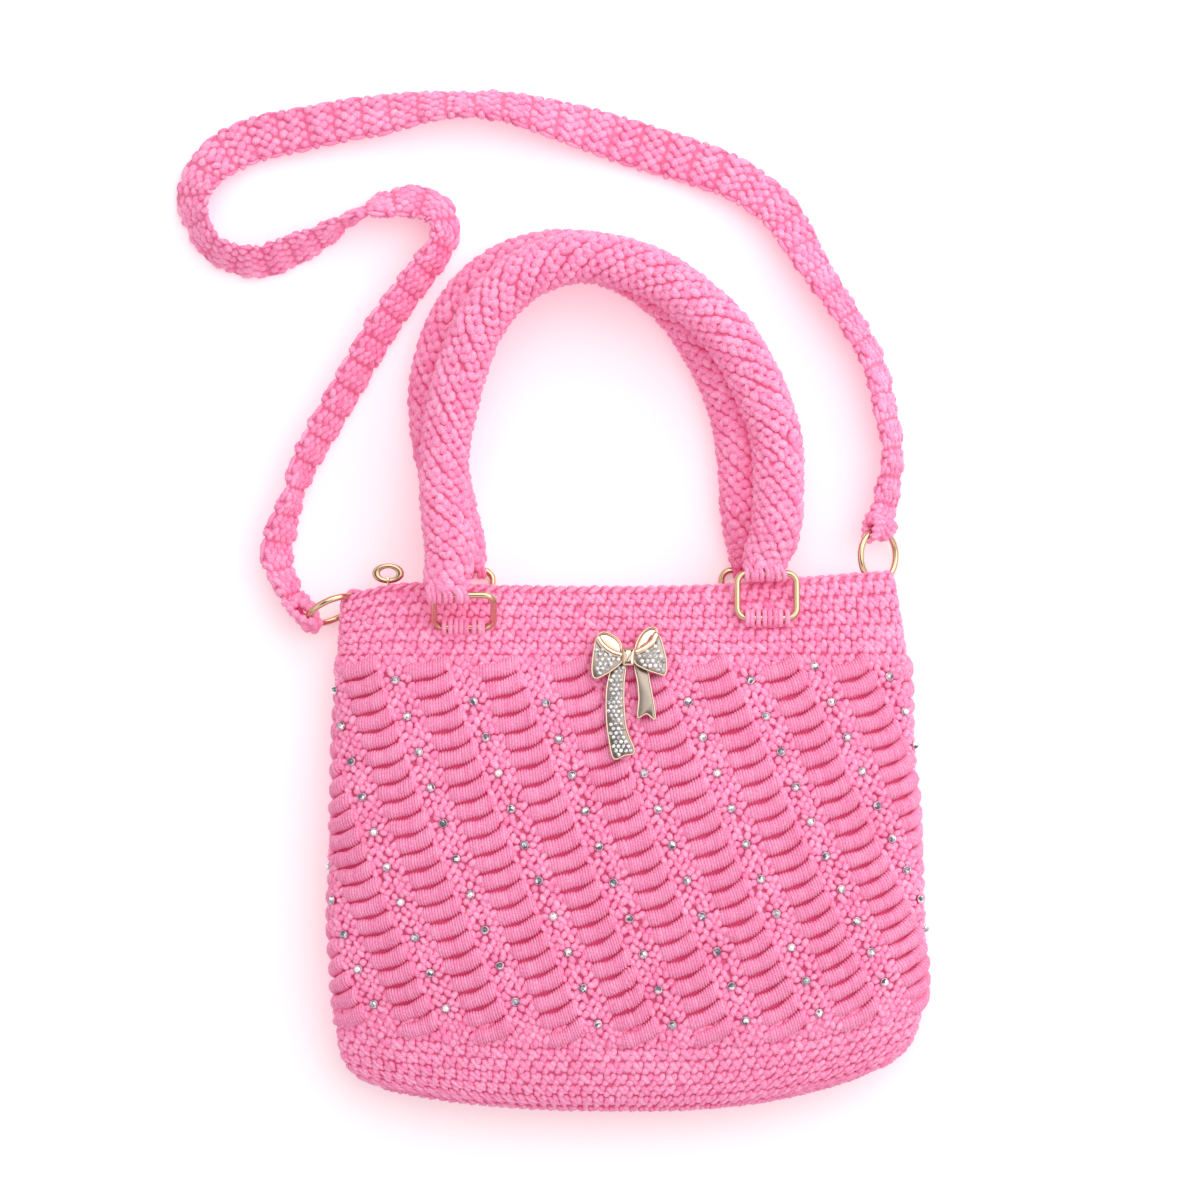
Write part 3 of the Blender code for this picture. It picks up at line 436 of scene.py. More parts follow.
def wall_skin():
    """The bag's wall from inside the mouth, over the rim and down to the middle of the base."""
    base = down_row(1.0)
    first = INNER_ROW - INNER_DEPTH
    count = int(math.ceil((base + BASE_CURL - first) / ROW_STEP)) + 1
    points = np.zeros((count, WALL_COLUMNS, 3))
    for spot in range(count):
        row = first + spot * ROW_STEP
        down, inset, rise = RIM_DOWN + max(row, 0.0) / BAG_HEIGHT, 0.0, 0.0
        if row < 0:
            bend = min(-row / RIM_RADIUS, math.pi)
            inset, rise = RIM_RADIUS * (1 - math.cos(bend)), RIM_RADIUS * math.sin(bend)
            down = RIM_DOWN + max(INNER_ROW - row, 0.0) / BAG_HEIGHT
        if row > base:
            bend = (row - base) / BASE_CURL * math.pi / 2
            inset, rise = BASE_INSET * (1 - math.cos(bend)), -BASE_SINK * math.sin(bend)
        down = min(down, 1.0)
        middle, half = wall_width(down)
        half = half - inset
        level, thick = wall_depth(down, inset)
        x, z = even_section(math.pi - FULL_TURN, ROUNDING, WALL_COLUMNS, half, thick)
        tuck = BASE_TUCK * max(0.0, (down - TUCK_FROM) / (1 - TUCK_FROM))
        y = row_y(down, np.clip(x, -1, 1)) + rise + tuck
        points[spot] = np.stack([middle + x * half, y, level + z * thick], axis=1)
    return Skin(points, ROW_STEP, first, up=-1.0)


def grid_faces(rows, columns, closed=True, ring=False):
    """Quads of a grid of points, columns running fastest; closed joins its columns, ring its rows."""
    i, j = np.meshgrid(np.arange(rows if ring else rows - 1),
                       np.arange(columns if closed else columns - 1), indexing="ij")
    k, after = (j + 1) % columns, (i + 1) % rows
    return np.stack([i * columns + j, i * columns + k, after * columns + k, after * columns + j],
                    axis=-1).reshape(-1, 4)


def end_faces(rows, columns):
    """The two faces that close the ends of a closed grid."""
    return np.stack([np.arange(columns)[::-1], (rows - 1) * columns + np.arange(columns)])


def add_object(name, data):
    """A new object in the scene."""
    item = bpy.data.objects.new(name, data)
    bpy.context.scene.collection.objects.link(item)
    return item


class Build:
    """Collects vertices, faces and yarn values, then makes one object of them."""

    def __init__(self):
        self.points, self.faces, self.yarn, self.count = [], [], [], 0

    def add(self, points, faces, deep=0.0, tone=0.0):
        """Pieces of points, the faces of one piece, and for each point its painted shade (darker where it
        lies deep) and its tone.
        """
        pieces, each = points.shape[:2]
        offsets = (np.arange(pieces) * each)[:, None, None] + self.count
        self.faces += [(face[None] + offsets).reshape(-1, face.shape[1]) for face in faces]
        self.points.append(points.reshape(-1, 3))
        self.yarn.append(np.stack([np.broadcast_to(value, (pieces, each)).ravel()
                                   for value in (deep, tone)], axis=1))
        self.count += pieces * each

    def make(self, name, finish, slot, smooth=True, replaces=()):
        """The object; yarn is kept just off the floor."""
        points = np.concatenate(self.points)
        if slot == "yarn":
            points[:, 2] = np.maximum(points[:, 2], FLOOR_CLEAR)
        mesh = bpy.data.meshes.new(name)
        mesh.vertices.add(len(points))
        mesh.vertices.foreach_set("co", points.astype(np.float32).ravel())
        sizes = np.concatenate([np.full(len(part), part.shape[1]) for part in self.faces])
        corners = np.concatenate([part.ravel() for part in self.faces])
        starts = np.concatenate([[0], np.cumsum(sizes)[:-1]])
        mesh.loops.add(len(corners))
        mesh.loops.foreach_set("vertex_index", corners.astype(np.int32))
        mesh.polygons.add(len(sizes))
        mesh.polygons.foreach_set("loop_start", starts.astype(np.int32))
        mesh.update(calc_edges=True)
        mesh.validate()
        # Yarn attribute: red holds the painted shade, green the random tone.
        color = np.zeros((len(points), 4), dtype=np.float32)
        color[:, :2] = np.concatenate(self.yarn)
        color[:, 3] = 1.0
        layer = mesh.attributes.new("yarn", "FLOAT_COLOR", "POINT")
        layer.data.foreach_set("color", color.ravel())
        if smooth:
            mesh.shade_smooth()
        mesh.materials.append(finish)
        item = add_object(name, mesh)
        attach(item, "root")
        if replaces:
            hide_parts(*replaces)
        return item


# One strand of a stitch, a low arch from tip to tip: along, across and height from -1 to 1
ARCH = np.radians(np.linspace(-112, 112, 6))
LOBE_RINGS = ((-0.62, 0.84, -0.16), (0.0, 1.0, 0.0), (0.62, 0.84, -0.16))
LOBE = np.array([(-1.0, 0.0, 0.05)]
                + [(at, wide * math.sin(a), wide * math.cos(a) + drop)
                   for at, wide, drop in LOBE_RINGS for a in ARCH]
                + [(1.0, 0.0, 0.05)])
LOBE_QUADS = grid_faces(len(LOBE_RINGS), len(ARCH), closed=False) + 1
LAST_TIP = len(LOBE) - 1
LAST_ARCH = LAST_TIP - len(ARCH)
LOBE_TIPS = np.array([(0, 2 + side, 1 + side) for side in range(len(ARCH) - 1)]
                     + [(LAST_TIP, LAST_ARCH + side, LAST_ARCH + side + 1) for side in range(len(ARCH) - 1)])
# Painted shade: the lower sides of each strand take more of the dark groove colour.
LOBE_PAINTED_SHADE = np.clip(0.60 - 0.80 * LOBE[:, 2], 0.0, 1.0) * 0.62


def add_lobes(build, skin, rows, shares, angles, lengths, widths, lift=LOBE_LIFT, rise=LOBE_RISE,
              deep=0.0, jitter=1.0):
    """Strands on a skin; angle 0 runs round it and 90 degrees along it, the way that its up says."""
    rows, shares, angles, lengths, widths, lift = np.broadcast_arrays(
        rows, shares, angles, lengths, widths, lift)
    shape = rows.shape
    angles = np.radians(angles + RANDOM.normal(0, 5, shape) * jitter)
    lengths = lengths * (1 + RANDOM.normal(0, 0.05, shape) * jitter)
    widths = widths * (1 + RANDOM.normal(0, 0.05, shape) * jitter)
    across = RANDOM.normal(0, 0.00018, shape) * jitter
    along = RANDOM.normal(0, 0.00018, shape) * jitter
    a = LOBE[None, :, 0] * lengths[:, None] / 2
    b = LOBE[None, :, 1] * widths[:, None] / 2
    cosine, sine = np.cos(angles)[:, None], np.sin(angles)[:, None]
    u = a * cosine - b * sine + across[:, None]
    v = a * sine + b * cosine + along[:, None]
    height = (lift[:, None] + LOBE[None, :, 2] * rise
              + RANDOM.normal(0, 0.00012, shape)[:, None] * jitter)
    points = skin.place(rows[:, None] + skin.up * v, shares[:, None] + u / skin.girth_at(rows)[:, None],
                        height)
    # Painted shade per point, plus each strand's own painted-shade offset.
    build.add(points, [LOBE_QUADS, LOBE_TIPS], np.clip(LOBE_PAINTED_SHADE + deep, 0, 1),
              RANDOM.normal(0, 1, shape)[:, None])


def column_share(column, row):
    """Share round the wall of a slanted column at a row."""
    return FIRST_COLUMN + column / COLUMNS + TWIST * (RIM_DOWN + row / BAG_HEIGHT)


def crystal_spots():
    """Row and share of every crystal, string by string."""
    pitch = (RIBS_TO - RIBS_FROM) / RIBS
    spots = []
    for column, first, count in STRINGS:
        rows = down_row(RIBS_FROM + (first + RIBS_PER_CRYSTAL * np.arange(count)) * pitch)
        spots.append(np.column_stack([rows, column_share(column, rows)]))
    return np.concatenate(spots)


def add_ribs(build, skin, columns):
    """Coiled ribs between the knot columns, each a thick roll with its wraps."""
    samples, ring = RIB_WRAPS * 3 + 1, 8
    t = np.linspace(-1, 1, samples)[:, None]
    phi = np.radians(np.linspace(-118, 118, ring))[None]
    wrap = 1 - RIB_GROOVE * (1 + np.cos(math.tau * np.arange(samples) / 3))[:, None]
    blunt = np.sqrt(1 - np.clip((t - 0.62) / 0.39, 0, 1) ** 2)
    thin = np.sqrt(1 - np.clip((-t - 0.42) / 0.60, 0, 1) ** 2)
    waist = 1 - RIB_PINCH * np.exp(-((t + 0.14) / 0.40) ** 2)
    radius = RIB_THICK / 2 * (blunt * thin * waist) * wrap
    # Painted shade: darker in the grooves between wraps and on the underside of each rib.
    deep = np.clip(0.30 * (1 - wrap) / 0.20 + 0.40 * np.clip(0.30 - np.cos(phi), 0, 1), 0, 1)
    ribs = np.arange(RIBS)
    rows = down_row(RIBS_FROM + (ribs + 0.5) * (RIBS_TO - RIBS_FROM) / RIBS)
    girth = skin.girth_at(rows)[:, None, None]
    for column in columns:
        shares = column_share(column + 0.5, rows)
        front = np.clip(np.mod(shares, 1.0) / 0.5, 0, 1)
        tilt = 14 + 6 * front + 9 * ribs / RIBS + RANDOM.normal(0, 1.2, RIBS)
        tilt = np.radians(tilt)[:, None, None]
        long = (RIB_LENGTH * (1 + RANDOM.normal(0, 0.02, RIBS)))[:, None, None]
        sag = (RIB_SAG * (1 + RANDOM.normal(0, 0.15, RIBS)))[:, None, None]
        a = t * long / 2 + 0.0007 * np.sin(phi)
        b = radius * np.sin(phi) + sag * (t * t - 0.4)
        height = radius * 0.80 * np.cos(phi) + 0.0002 - 0.0016 * np.clip(-t, 0, 1) ** 2
        u = a * np.cos(tilt) - b * np.sin(tilt)
        v = a * np.sin(tilt) + b * np.cos(tilt)
        points = skin.place(rows[:, None, None] - v, shares[:, None, None] + u / girth,
                            np.broadcast_to(height, u.shape))
        tone = RANDOM.normal(0, 1, (RIBS, samples // 3 + 1, 1)).repeat(3, axis=1)[:, :samples] * 0.6
        build.add(points.reshape(RIBS, -1, 3), [grid_faces(samples, ring, closed=False)], deep.ravel(),
                  np.broadcast_to(tone, (RIBS, samples, ring)).reshape(RIBS, -1))


def add_knots(build, skin, spots):
    """Small stitches in the slanted columns, and petals fanned round each crystal."""
    first, last = down_row(RIBS_FROM) + 0.001, down_row(RIBS_TO) - 0.001
    count = int((last - first) / KNOT_PITCH) + 1
    girth = skin.girth_at(down_row(0.5))
    knots = []
    for column in range(COLUMNS):
        for step in range(count):
            for spot, angle in enumerate(KNOT_ANGLES):
                offset = (spot - (len(KNOT_ANGLES) - 1) / 2) * KNOT_ACROSS
                row = (first + (last - first) * step / (count - 1)
                       - offset * 0.30 + 0.5 * KNOT_PITCH * (spot % 2))
                share = column_share(column, row) + offset / girth
                away = (share - spots[:, 1] + 0.5) % 1.0 - 0.5
                if np.hypot(away * girth, row - spots[:, 0]).min() > KNOT_ROOM:
                    knots.append((row, share, angle + RANDOM.normal(0, 9)))
    rows, shares, angles = np.array(knots).T
    lift = RANDOM.normal(0.0001, 0.00035, len(knots))
    add_lobes(build, skin, rows, shares, angles, KNOT_LONG, KNOT_WIDE, lift, KNOT_RISE)
    angles = RANDOM.uniform(0, math.tau, (len(spots), 1)) + math.tau * np.arange(PETALS) / PETALS
    rows = spots[:, :1] - np.sin(angles) * PETAL_REACH
    shares = spots[:, 1:] + np.cos(angles) * PETAL_REACH / girth
    add_lobes(build, skin, rows.ravel(), shares.ravel(), np.degrees(angles).ravel(), PETAL_LONG,
              KNOT_WIDE, 0.0001, KNOT_RISE)


def add_bands(build, skin):
    """Plain rows of single crochet above and below the ribs and under the base, and the mouth's rows."""
    count = int(round(BAND_GIRTH / STITCH))
    starts = (np.arange(0.0038, down_row(RIBS_FROM) + 0.0065, STITCH),
              np.arange(down_row(RIBS_TO) - 0.0060, down_row(1.0) + 0.0062, STITCH * 1.02))
    for number, row in enumerate(np.concatenate(starts)):
        girth = float(skin.girth_at(row))
        shares = (np.arange(count) + 0.5 * (number % 2) * 0.35) / count
        for u, v, angle, long, wide in SINGLE_CROCHET:
            add_lobes(build, skin, row - v * STITCH, shares + u / count, angle, long * girth / count,
                      wide * girth / count)
    for row, angle in MOUTH_ROWS:
        add_lobes(build, skin, row, (np.arange(count) + 0.5) / count, angle, STITCH * 1.12, STITCH * 0.50)


def ground_painted_shade(rows, shares):
    """Painted shade of the bag's ground: darkest under the ribs."""
    part = np.mod((shares - column_share(0, rows)) * COLUMNS, 1.0)
    ribbed = np.clip((0.34 - np.abs(part - 0.5)) / 0.08, 0, 1)
    among = (rows > down_row(RIBS_FROM)) & (rows < down_row(RIBS_TO))
    return np.where(among, 0.46 + 0.34 * ribbed, PLAIN_GROUND_SHADE)


def shell(skin, name, finish, rows, columns, inset, replaces, tone=None):
    """The plain ground that the stitches stand on, darkened by painted shade; with a tone (its own painted
    shade) it stays open at its ends.
    """
    build = Build()
    rows, shares = np.meshgrid(rows, np.arange(columns) / columns, indexing="ij")
    points = skin.place(rows, shares, np.full(rows.shape, -inset))
    faces = [grid_faces(len(rows), columns)]
    if tone is None:
        faces.append(end_faces(len(rows), columns))
    build.add(points.reshape(1, -1, 3), faces, tone(rows, shares).ravel() if tone else PLAIN_GROUND_SHADE)
    return build.make(name, finish, "yarn", replaces=(replaces,))


def bag_place(across, down, level):
    """A place at shares of the bag's half width and height, and a level."""
    return np.array([across * HALF_WIDTH, RIM_Y - down * BAG_HEIGHT, level])


def ring_place(spec):
    """Middle and rotation of a handle ring."""
    return bag_place(*spec[:3]), turn("X", spec[3])


def bar_place(spec, end):
    """Middle of a ring's bar, at the handle (1) or at the bag (-1)."""
    middle, rotation = ring_place(spec)
    return middle + rotation @ np.array([0, end * (RING_HEIGHT - WIRE) / 2, 0])


def seat_place(name):
    """Where a handle sits on its ring's bar."""
    return bar_place(RINGS[name], 1) + np.array([RINGS[name][4] * RING_WIDTH, 0, 0])


def side_ring_place(name):
    """Middle and rotation of a side ring."""
    spec = SIDE_RINGS[name]
    return bag_place(*spec[:3]), turn("Z", spec[3]) @ turn("X", spec[4])


def tube_grid(paths, radius, sides, axis, closed=False, flat=1.0):
    """Rings of points along paths (pieces, points, 3); axis is a direction that they never run along."""
    if closed:
        along = np.roll(paths, -1, axis=1) - np.roll(paths, 1, axis=1)
    else:
        along = np.gradient(paths, axis=1)
    along = unit(along)
    axis = np.broadcast_to(np.asarray(axis, dtype=float), paths.shape)
    side = unit(axis - along * (axis * along).sum(axis=-1, keepdims=True))[:, :, None]
    out = np.cross(along[:, :, None], side)
    radius = np.broadcast_to(np.asarray(radius, dtype=float), paths.shape[:2])
    turns = (math.tau * np.arange(sides) / sides)[:, None]
    return paths[:, :, None] + (side * np.cos(turns) + out * np.sin(turns) * flat) * radius[..., None, None]


def add_tubes(build, paths, radius, sides, axis, closed=False, deep=0.0, flat=1.0):
    """Tubes along paths, with their ends closed; closed joins each path to its start."""
    points = tube_grid(paths, radius, sides, axis, closed, flat)
    pieces, steps = points.shape[:2]
    faces = [grid_faces(steps, sides, ring=closed)]
    if not closed:
        faces.append(end_faces(steps, sides))
    build.add(points.reshape(pieces, -1, 3), faces, deep, RANDOM.normal(0, 1, (pieces, 1)))


def tube_skin(stations, section, step):
    """Skin round stations of place, half width, half thickness and lean, and its directions."""
    along = unit(np.gradient(stations[:, :3], axis=0))
    flat = unit(np.cross(np.array([0.0, 0, 1]), along))
    lean = stations[:, 5, None]
    side = flat * np.cos(lean) + np.cross(along, flat) * np.sin(lean)
    top = np.cross(along, side)
    points = (stations[:, None, :3] + side[:, None] * (stations[:, 3, None] * section[0])[..., None]
              + top[:, None] * (stations[:, 4, None] * section[1])[..., None])
    return Skin(points, step), along, side, top


def narrow_ends(stations, length, share, reach):
    """Make the stations less wide by a share, near both ends."""
    walked = np.linspace(0, length, len(stations))
    ends = np.minimum(walked, walked[::-1])
    stations[:, 3] *= 1 - share * np.clip(1 - ends / reach, 0, 1)


def make_handle(side, rows, finish):
    """Padded core, spiral rounds of stitches, and strands that gather over each ring."""
    seats = [seat_place(f"handle_ring_{side}_{end}") for end in ("left", "right")]
    given = []
    for along, rise, level, wide, thick in rows:
        x, y, _ = seats[0] * (1 - along) + seats[1] * along
        given.append([x, y + rise * HANDLE_RISE, level * HANDLE_THICK, wide * HANDLE_WIDE / 2,
                      thick * HANDLE_THICK / 2, 0.0])
    for spot, seat in zip((0, -1), seats):
        given[spot][1] -= HANDLE_END
        given[spot][2] = max(seat[2], given[spot][4] + LINK_GAP)
    stations, length = even_steps(smooth_curve(np.array(given), CURVE_STEPS), HANDLE_STATIONS)
    narrow_ends(stations, length, *HANDLE_NARROWS)
    step = length / (HANDLE_STATIONS - 1)
    skin = tube_skin(stations, even_section(FULL_TURN, 1.0, 72, 1.0, 1.0), step)[0]
    core = shell(skin, f"handle_{side}_core", finish, np.linspace(CORE_BARE, length - CORE_BARE, 110),
                 30, SHELL_INSET, f"handle_{side}")

    build = Build()
    ridges = np.arange(HANDLE_RIDGES)[:, None] / HANDLE_RIDGES
    for line, angle, late, long, wide in PEBBLE_LINES:
        rows = np.arange(HANDLE_BARE + late * HANDLE_PITCH, length - HANDLE_BARE, HANDLE_PITCH)[None]
        shares = ridges + line * RIDGE_SPLIT / HANDLE_RIDGES - rows / HANDLE_TURN
        rows = np.broadcast_to(rows, shares.shape)
        add_lobes(build, skin, rows.ravel(), shares.ravel(), angle, PEBBLE_LONG * long,
                  PEBBLE_WIDE * wide, PEBBLE_LIFT, PEBBLE_RISE, PEBBLE_PAINTED_SHADE, jitter=1.6)
    spot = int(GATHER_FROM / step)
    for seat, body in zip(seats, (stations[spot], stations[-1 - spot])):
        add_gather(build, seat, body[:3], body[3] * 0.86, body[4] * 0.80)
    build.make(f"handle_{side}_stitches", finish, "yarn")


def add_gather(build, seat, body, half_wide, half_thick):
    """Strands from a handle's skin, round a ring's bar and back under the handle."""
    radius = (WIRE + GATHER_THICK) / 2
    shares = np.linspace(0.0, 0.8, 5)
    turns = np.radians(np.linspace(90, 270, 9))
    paths = []
    for across in np.linspace(-1, 1, GATHERED):
        lean = math.sqrt(max(1 - (across * 0.8) ** 2, 0.2)) * half_thick
        start, end = RANDOM.normal(0, GATHER_SPREAD, 2)
        x_body = body[0] + across * half_wide * 0.90 - GATHER_SLANT + start
        x_bar = seat[0] + across * TAB_WIDTH * 0.42 + GATHER_SLANT + end
        x = x_body + (x_bar - x_body) * shares
        y = body[1] + (seat[1] - body[1]) * shares
        over, under = (body[2] + side * lean + (seat[2] - body[2] + side * (radius - lean)) * shares ** 0.8
                       for side in (1, -1))
        bend = np.column_stack([turns * 0 + x_bar, seat[1] + radius * 1.1 * np.cos(turns),
                                seat[2] + radius * np.sin(turns)])
        paths.append(np.concatenate([np.column_stack([x, y, over]), bend,
                                     np.column_stack([x, y, under])[::-1]]))
    add_tubes(build, np.array(paths), GATHER_THICK / 2, 7, X_AXIS, deep=GATHER_PAINTED_SHADE)


def add_tabs(build):
    """Strands that hold the bars of the handle rings, and loops that hold the side rings."""
    radius = (WIRE + GATHER_THICK) / 2
    for name, spec in RINGS.items():
        bar = bar_place(spec, -1)
        side = 1 if "front" in name else -1
        paths = []
        for across in np.linspace(-1, 1, GATHERED):
            x = bar[0] + across * TAB_WIDTH * 0.45
            wall = float(wall_level(x, bar[1], side))
            x += RANDOM.normal(0, GATHER_SPREAD)
            low = bar[1] - TAB_DROP + RANDOM.normal(0, GATHER_SPREAD)
            slant = GATHER_SLANT * RANDOM.uniform(0.6, 1.8)
            path = [(x + slant * 1.6, low - 0.0006, wall - side * 0.0022),
                    (x + slant, low + 0.0012, wall + (bar[2] - wall) * 0.30 + side * 0.0006)]
            for angle in np.radians(np.linspace(170, -30, 9)):
                path.append((x, bar[1] + radius * 1.15 * math.cos(angle),
                             bar[2] + side * radius * math.sin(angle)))
            path.append((x - GATHER_SLANT, bar[1] + radius * 1.2, wall - side * 0.0016))
            paths.append(path)
        add_tubes(build, np.array(paths), GATHER_THICK / 2, 7, X_AXIS, deep=GATHER_PAINTED_SHADE)
    for name, end in (("side_ring_left", 1), ("side_ring_right", -1)):
        middle, rotation = side_ring_place(name)
        hold = middle + rotation @ np.array([end * (SIDE_RING - WIRE) / 2, 0, 0])
        tangent = rotation @ np.array([0, 1.0, 0])
        inward = np.array([end * 0.02, 0.09, 0.018]) - hold
        inward = unit(inward - tangent * (inward @ tangent))
        lift = np.cross(tangent, inward)
        paths = []
        for across in np.linspace(-1, 1, HOLD_STRANDS):
            base = hold + tangent * across * HOLD_SPREAD
            paths.append([base + inward * x * (HOLD_REACH if x > 0 else HOLD_RADIUS)
                          + lift * y * HOLD_RADIUS for x, y, _ in circle(14)])
        add_tubes(build, np.array(paths), STRAND / 2, 7, tangent, closed=True, deep=HOLD_PAINTED_SHADE)


def add_hitches(build, name, facing, end, inward, side, top):
    """Strands that carry the strap's end round its ring; facing is that side of the ring, in degrees."""
    middle, rotation = side_ring_place(name)
    radius = (WIRE + HITCH_THICK) / 2
    tangent = rotation @ np.array([0, math.cos(math.radians(facing)), 0])
    order = 1 if tangent @ side > 0 else -1
    paths = []
    for across in np.linspace(-1, 1, HITCHES):
        angle = math.radians(facing + order * HITCH_SPREAD * across)
        ray, run = (rotation @ np.array(way) for way in ([math.cos(angle), math.sin(angle), 0],
                                                         [-math.sin(angle), math.cos(angle), 0]))
        bar = middle + ray * (SIDE_RING - WIRE) / 2
        start = end + side * across * STRAP_WIDE * 0.34 + inward * 0.003
        away = unit(bar - start)
        out = unit(np.cross(run, away))
        out *= 1 if out @ top >= 0 else -1
        path = [start + top * STRAP_THICK * 0.35, (start + bar) / 2 + out * radius * 1.1]
        path += [bar + (away * math.cos(bend) + out * math.sin(bend)) * radius
                 for bend in np.radians(np.linspace(90, -90, 9))]
        path += [(start + bar) / 2 - out * radius * 1.1, start - top * STRAP_THICK * 0.35]
        paths.append(even_steps(np.array(path), HITCH_STEPS)[0])
    waves = np.linspace(0, math.tau * HITCH_KNOBS, HITCH_STEPS)[None]
    knobs = np.cos(waves + RANDOM.uniform(0, math.tau, (HITCHES, 1)))
    # Painted shade: the hitch strands darken between their knobs.
    add_tubes(build, np.array(paths), HITCH_THICK / 2 * (1 + HITCH_KNOB_RISE * knobs), 10, side,
              deep=HITCH_PAINTED_SHADE * (1 - knobs.repeat(10, axis=1)))


def make_strap(finish):
    """Flat band of ridged rows on both faces, with knobs along its edges."""
    left, right = (side_ring_place(name)[0] for name in SIDE_RINGS)
    lifts = np.zeros(len(STRAP_ROUTE))
    lifts[:2], lifts[-3:] = STRAP_LIFTS
    given = []
    for (along, reach, lean), lift in zip(STRAP_ROUTE, lifts):
        x, y, _ = left * (1 - along) + right * along
        given.append([x, y + reach * STRAP_REACH, lift * STRAP_WIDE, STRAP_WIDE / 2, STRAP_THICK / 2,
                      math.radians(lean)])
    stations, length = even_steps(smooth_curve(np.array(given), CURVE_STEPS), STRAP_STATIONS)
    narrow_ends(stations, length, *STRAP_NARROWS)
    stations[:, 2] += (np.abs(np.sin(stations[:, 5])) * stations[:, 3]
                       + np.abs(np.cos(stations[:, 5])) * stations[:, 4] + LINK_GAP)
    section = even_section(FULL_TURN, 0.42, 96, 1.0, STRAP_THICK / STRAP_WIDE)
    skin, along, side, top = tube_skin(stations, section, length / (STRAP_STATIONS - 1))
    shell(skin, "strap_core", finish, np.linspace(0.001, length - 0.001, 260), 20, STRAP_INSET, "strap")

    build = Build()
    count = int(length / STRAP_PITCH)
    face = 0.98 * STRAP_WIDE / (2 * (STRAP_WIDE + STRAP_THICK))
    spread = (np.arange(STRAP_CELLS) + 0.5) / STRAP_CELLS - 0.5
    for number in range(count):
        row = length * (number + 0.5) / count
        for middle in (0.25, 0.75):
            for line in (-1, 1):
                shares = middle + (spread + line * STRAP_LOBE_SPLIT / STRAP_CELLS) * face
                out, lift, long = STRAP_LOBES[line == (-1 if number % 2 else 1)]
                add_lobes(build, skin, row + line * STRAP_PITCH * out, shares,
                          90.0 - STRAP_LOBE_LEAN * line, long, STRAP_LOBE_WIDE, lift, STRAP_LOBE_RISE,
                          jitter=1.5)
        for edge in (0.0, 0.5):
            angle, long, wide, rise = EDGE_KNOB if number % 2 else EDGE_STRAND
            add_lobes(build, skin, np.array([row]), edge, angle, long, wide, EDGE_LIFT, rise)
    add_hitches(build, "side_ring_left", 180.0, stations[3, :3], along[3], side[3], top[3])
    add_hitches(build, "side_ring_right", 0.0, stations[-4, :3], -along[-4], side[-4], top[-4])
    build.make("strap_stitches", finish, "yarn")


def make_ring(name, line, place, finish):
    """Wire of one ring along its middle line."""
    middle, rotation = place
    build = Build()
    add_tubes(build, (line @ rotation.T + middle)[None], WIRE / 2, 16, rotation @ Z_AXIS, closed=True)
    build.make(name + "_wire", finish, "gold_metal", replaces=(name,))


def make_rings(finish):
    """Rectangular handle rings with round corners, and round side rings."""
    corner = RING_CORNER - WIRE / 2
    line = []
    for quarter, (side_x, side_y) in enumerate(((1, 1), (-1, 1), (-1, -1), (1, -1))):
        for angle in np.radians(90 * (quarter + np.linspace(0, 1, 12))):
            line.append((side_x * ((RING_WIDTH - WIRE) / 2 - corner) + corner * math.cos(angle),
                         side_y * ((RING_HEIGHT - WIRE) / 2 - corner) + corner * math.sin(angle), 0.0))
    for name, spec in RINGS.items():
        make_ring(name, np.array(line), ring_place(spec), finish)
    for name in SIDE_RINGS:
        make_ring(name, circle(64, (SIDE_RING - WIRE) / 2), side_ring_place(name), finish)


def make_pull(finish):
    """Oval zip pull with a rounded band, wider at its two sides."""
    low, high = (np.array(corner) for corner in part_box("zip_pull"))
    half = (high - low) / 2
    rounds = circle(12)
    hole = half[:2] - np.array([1.6, 1.0]) * PULL_BAND
    line, band = (half[:2] + hole) / 2, (half[:2] - hole) / 2
    points = np.zeros((48, 12, 3))
    points[..., :2] = circle(48)[:, None, :2] * (line + band * rounds[:, :1])
    points[..., 2] = half[2] * rounds[:, 1]
    build = Build()
    build.add((points + (low + high) / 2).reshape(1, -1, 3), [grid_faces(48, 12, ring=True)])
    build.make("zip_pull_band", finish, "gold_metal", replaces=("zip_pull",))


def on_front(places, high):
    """Places of the bag's plane on its front, at a height above the ribs' crests."""
    level = wall_level(places[:, 0], places[:, 1], 1) + RIB_RAISE + BOW_GAP + high
    return np.column_stack([places, level])


def bow_points(outline):
    """Outline in metres in the bag's plane."""
    across, down = np.array(outline).T
    return np.stack([BOW_WIDTH * across, RIM_Y - BOW_TOP * BAG_HEIGHT - down * BOW_LENGTH], axis=1)


def bow_edge(outline):
    return smooth_curve(bow_points(outline), 4, closed=True)


def inset_loop(points, distance):
    """Closed outline moved inwards by a distance."""
    after = np.roll(points, -1, axis=0)
    area = 0.5 * np.sum(points[:, 0] * after[:, 1] - after[:, 0] * points[:, 1])
    along = after - np.roll(points, 1, axis=0)
    return points + unit(np.stack([-along[:, 1], along[:, 0]], axis=1) * np.sign(area)) * distance


def inside(points, outline):
    """Which points are inside a closed outline."""
    found = np.zeros(len(points), dtype=bool)
    for (ax, ay), (bx, by) in zip(outline, np.roll(outline, -1, axis=0)):
        crosses = (ay > points[:, 1]) != (by > points[:, 1])
        where = ax + (points[:, 1] - ay) / ((by - ay) if by != ay else 1e-12) * (bx - ax)
        found ^= crosses & (points[:, 0] < where)
    return found


